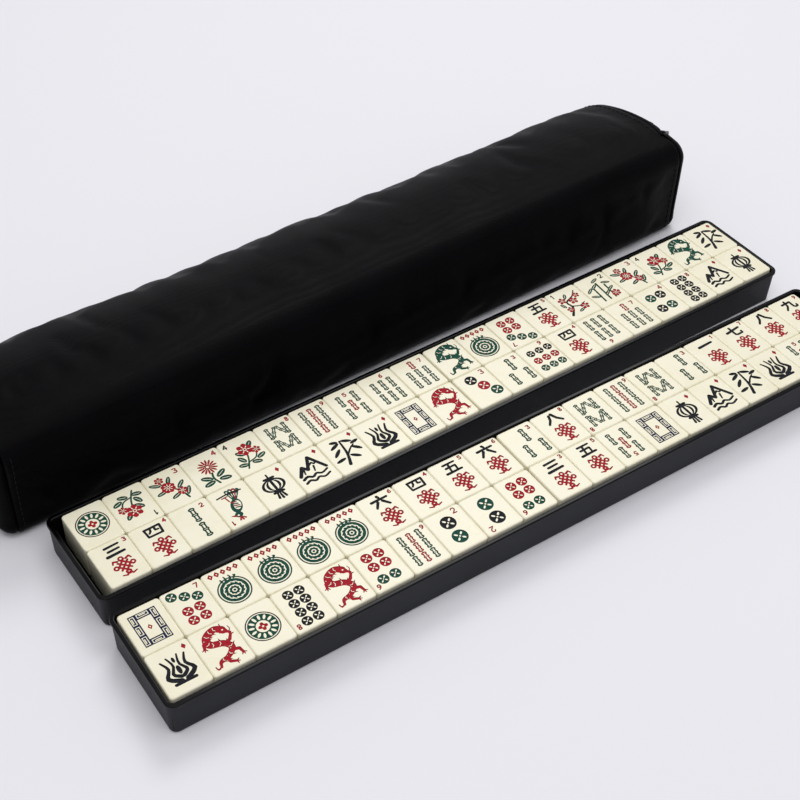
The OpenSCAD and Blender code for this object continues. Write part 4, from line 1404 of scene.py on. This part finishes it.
def draw(code):
    art = []
    kind, number = code[0], int(code[1]) if len(code) > 1 and code[1].isdigit() else 0
    if kind == "o" and number == 1:
        wheel(art)
    elif kind == "o":
        dots(art, number)
    elif kind == "b" and number == 1:
        bird(art)
        digit(art, 1, 8.6, 11.0, RED, 3.6)
    elif kind == "b":
        canes(art, number)
    elif kind == "c":
        numeral(art, number)
    elif kind == "f":
        flower(art, number, int(code[2]))
    elif kind == "w":
        (lantern, spray, peaks, flame)[number](art)
        art = [(ink, points if ink == RED else [(x * 1.12, y * 1.06) for x, y in points])
               for ink, points in art]
    elif kind == "d":
        serpent(art, GREEN if number else RED)
    elif kind == "j":
        medallion(art)
    else:
        key_frame(art)
    if code.endswith("r"):
        art = [(ink, [(-x, -y) for x, y in points]) for ink, points in art]
    return art


# Each row from left to right: o dots, b canes, c numerals, f flowers (kind and number), w black
# pictures (0 lantern, 1 spray, 2 peaks, 3 flame), d serpents (0 red, 1 green), j medallion and
# k key frame; r after a code is a tile laid the other way up
ROWS = {
    ("back", "rear"): "o1r f01r f13 f34 f04 b8 b9 b5 b6 b7 d1 j o7r c5 f41 f22 f13 f04 d1 w1",
    ("back", "near"): "c3 c4 b2 b1r w0 w2 w1 w3 k d0 o3 b3 o9 c4 b6r b7 o4 o8 w2 w0",
    ("front", "rear"): "k o7 j j j j c6 c4 c5 c6 b3 c8 b8r b9 b8r b3 c1 c7 c8 c9",
    ("front", "near"): "w3 d0 o1 o8r d0 o6r b9 o2 o2r o6r c3 c5 b5r k w0 w2 w1 w3 b5 c2",
}


def rounded(w, d, r, per=5):
    """A rectangle with round corners, counter-clockwise."""
    points = []
    for k, (sx, sy) in enumerate(((1, 1), (-1, 1), (-1, -1), (1, -1))):
        for a in np.radians(90 * k + np.linspace(0, 90, per)):
            points.append((sx * (w / 2 - r) + r * math.cos(a), sy * (d / 2 - r) + r * math.sin(a)))
    return points


# How deep the drawings are cut, and the roundings of a tile's edges and upright corners
ENGRAVED, EDGE_R, CORNER_R = 0.35, 0.9, 1.9
faces_of_art = {}


def engrave(code):
    """The top of a tile cut up along its drawing: points, triangles and their inks."""
    if code in faces_of_art:
        return faces_of_art[code]
    top = rounded(TILE_W - 2 * EDGE_R, TILE_L - 2 * EDGE_R, CORNER_R - EDGE_R)
    points, faces, inks = [Vector(p) for p in top], [list(range(len(top)))], [IVORY]
    for ink, outline in draw(code):
        p = np.array(outline)
        turn = np.sum(p[:, 0] * np.roll(p[:, 1], -1) - p[:, 1] * np.roll(p[:, 0], -1))
        if turn < 0:
            outline = outline[::-1]
        first = len(points)
        points += [Vector(q) for q in outline]
        faces.append(list(range(first, first + len(outline))))
        inks.append(ink)
    found = delaunay_2d_cdt(points, [], faces, 0, 2e-4, True)
    place = new_numbers(found[3])
    faces_of_art[code] = ([tuple(v) for v in found[0]], [tuple(f) for f in found[2]],
                          [inks[max(o)] if o else IVORY for o in found[5]],
                          [place[i] for i in range(len(top))])
    return faces_of_art[code]


def tile_mesh(code, points, faces, inks, to_case):
    """Adds one tile to a mesh: its engraved face, and the rounded block under it."""
    flat, triangles, colours, rim = engrave(code)
    high, low = {}, {}

    def vertex(i, sunk):
        table = low if sunk else high
        if i not in table:
            table[i] = len(points)
            points.append(to_case(flat[i][0], flat[i][1], TILE_T - (ENGRAVED if sunk else 0)))
        return table[i]

    owner = {}
    for t, ink in zip(triangles, colours):
        for k in range(3):
            owner[(t[k], t[(k + 1) % 3])] = ink
        faces.append(tuple(vertex(i, ink != IVORY) for i in t))
        inks.append(ink)
    for (a, b), ink in owner.items():
        other = owner.get((b, a))
        if ink != IVORY and other == IVORY:
            faces.append((vertex(b, True), vertex(a, True), vertex(a, False), vertex(b, False)))
            inks.append(ink)
    ring = [vertex(i, False) for i in rim]
    count = len(ring)
    profile = [(a, 1) for a in (22, 45, 68, 90)] + [(a, -1) for a in (90, 68, 45, 22, 0)]
    for a, half in profile:
        a = math.radians(a)
        draw_in = EDGE_R * (1 - math.sin(a))
        z = TILE_T - EDGE_R * (1 - math.cos(a)) if half == 1 else EDGE_R * (1 - math.cos(a))
        new = []
        for x, y in rounded(TILE_W - 2 * draw_in, TILE_L - 2 * draw_in, CORNER_R - draw_in):
            new.append(len(points))
            points.append(to_case(x, y, z))
        for i in range(count):
            j = (i + 1) % count
            faces.append((ring[i], new[i], new[j], ring[j]))
            inks.append(IVORY)
        ring = new
    faces.append(tuple(ring[::-1]))
    inks.append(IVORY)


def tile_set(tray_name, row_name, half_name, tray, paints):
    codes = ROWS[(tray_name, row_name)].split()
    half = 1 if half_name == "right" else 0
    row = 1 if row_name == "rear" else 0
    turn = math.radians(tray["turn"])
    c, s = math.cos(turn), math.sin(turn)
    start = -TRAY_L / 2 + TRAY_EDGE + tray["free"]
    points, faces, inks = [], [], []
    for i in range(HALF_ROW):
        k = half * HALF_ROW + i
        cx = start + (k + 0.5) * (TILE_W + TILE_GAP) + half * tray["part"]
        cy = -TRAY_D / 2 + TRAY_EDGE + TILE_CLEAR + (row + 0.5) * (TILE_L + TILE_GAP)

        def to_case(x, y, z, cx=cx, cy=cy):
            x, y = cx + x, cy + y
            return (tray["x"] + x * c - y * s, tray["y"] + x * s + y * c, TILE_FLOOR + z)

        tile_mesh(codes[k], points, faces, inks, to_case)
    name = f"tiles_{tray_name}_{row_name}_{half_name}"
    obj = piece("engraved_" + name, points, faces, paints, inks, fix=False)
    sharp = np.array([len(f) == 3 or ink != IVORY for f, ink in zip(faces, inks)])
    obj.data.polygons.foreach_set("use_smooth", ~sharp)
    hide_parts(name)
    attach(obj, name + "_set")


# The build
def dress_nodes():
    """Procedural finishes on the rigid solids that stay."""
    finishes = {
        "zip_teeth_base": teeth, "zip_teeth_lid": teeth, "zip_slider": metal, "zip_pull": metal,
        "base_board": board_paint(),
        "tray_back": back_plastic, "tray_back_floor": back_plastic,
        "tray_front": front_plastic, "tray_front_floor": front_plastic,
    }
    for name, paint in finishes.items():
        obj = nodes[name]
        if not obj.material_slots:
            obj.data.materials.append(paint)
        for slot in obj.material_slots:
            slot.material = paint


place_camera()
light_scene()
lay_floor()

padding = cloth_paint("padded_cloth_black", rgb(2, 2, 3), rgb(5, 5, 7), 0.7, 0.42, 0.028, 0.003)
lining = cloth_paint("lining_cloth_grey", rgb(40, 41, 45), rgb(58, 59, 64), 0.45, 0.66, 0.15, 0.06)
tape = tape_paint()
teeth = teeth_paint()
metal = metal_paint()
thread = thread_paint()
back_plastic = tray_paint("back_tray_plastic", BACK_TRAY)
front_plastic = tray_paint("front_tray_plastic", FRONT_TRAY)
inks = [
    ivory_paint(),
    ink_paint("ink_red", rgb(156, 20, 36), rgb(176, 36, 50)),
    ink_paint("ink_green", rgb(14, 62, 50), rgb(30, 84, 70)),
    ink_paint("ink_black", rgb(13, 15, 20), rgb(32, 35, 42)),
    ink_paint("ink_navy", rgb(18, 28, 62), rgb(34, 46, 84)),
]
dress_nodes()

lid_pad = wrap_piece("lid_pad", FOLD_S + CREASE, True, padding)
base_pad = wrap_piece("base_pad", FOLD_S - CREASE, False, padding)
for obj, node, body in ((lid_pad, "lid_wrap", "case_lid"), (base_pad, "base_wrap", "case_base")):
    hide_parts(node)
    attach(obj, body)

# The crease has no free edge near it
fold_pad = crease_piece("fold_pad", CREASE, lambda s, x: wrap_depth(s, x, 50.0), WRAP_T, XS, padding)
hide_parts("base_wrap", "lid_wrap")

# The strip under the crease stops 3.2 mm short of the padding at each end. It reaches this far each
# way round the section, and its outside, middle and inside lie at these depths
STRIP_REACH, STRIP_OUT, STRIP_MID, STRIP_IN = 12.0, 6.9, 7.3, 7.7
strip_x = np.linspace(-HALF + 3.2, HALF - 3.2, 90)
inner_fold = crease_piece("fold_lining", STRIP_REACH, lambda s, x: STRIP_OUT + 0.12 * ripple(s, x, 15),
                          STRIP_IN, strip_x, lining)
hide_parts("fold_strip")
fold_run = skin(FOLD_S + np.linspace(-STRIP_REACH, STRIP_REACH, 60), STRIP_MID)[0]
fold_width = np.sum(np.hypot(*np.diff(fold_run, axis=0).T))

PARTS = ((True, "lid", "case_lid"), (False, "base", "case_base"))
for side, word in ((-1, "left"), (1, "right")):
    for lid, part, body in PARTS:
        obj = end_piece(f"{part}_end_pad_{word}", side, lid, padding)
        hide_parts(f"{part}_end_{word}")
        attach(obj, body)

for lid, part, body in PARTS:
    obj = lining_piece(f"{part}_lining_cloth", lid, lining)
    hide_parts(f"{part}_lining")
    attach(obj, body)

for sign, part, left, right, body in ((-1, "base", 0, 0, "case_base"),
                                      (1, "lid", LID_ROW_LEFT, LID_ROW_RIGHT, "case_lid")):
    obj = tape_piece(f"{part}_tape_cloth", sign, left, right, tape)
    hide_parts(f"zip_tape_{part}")
    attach(obj, body)

for lid, part, body in PARTS:
    obj = stitch_piece(f"{part}_stitches", stitch_runs(lid), thread)
    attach(obj, body)

for tray_name, tray in (("back", BACK_TRAY), ("front", FRONT_TRAY)):
    for row_name in ("rear", "near"):
        for half_name in ("left", "right"):
            tile_set(tray_name, row_name, half_name, tray, inks)

bpy.context.scene.view_settings.view_transform = "Standard"
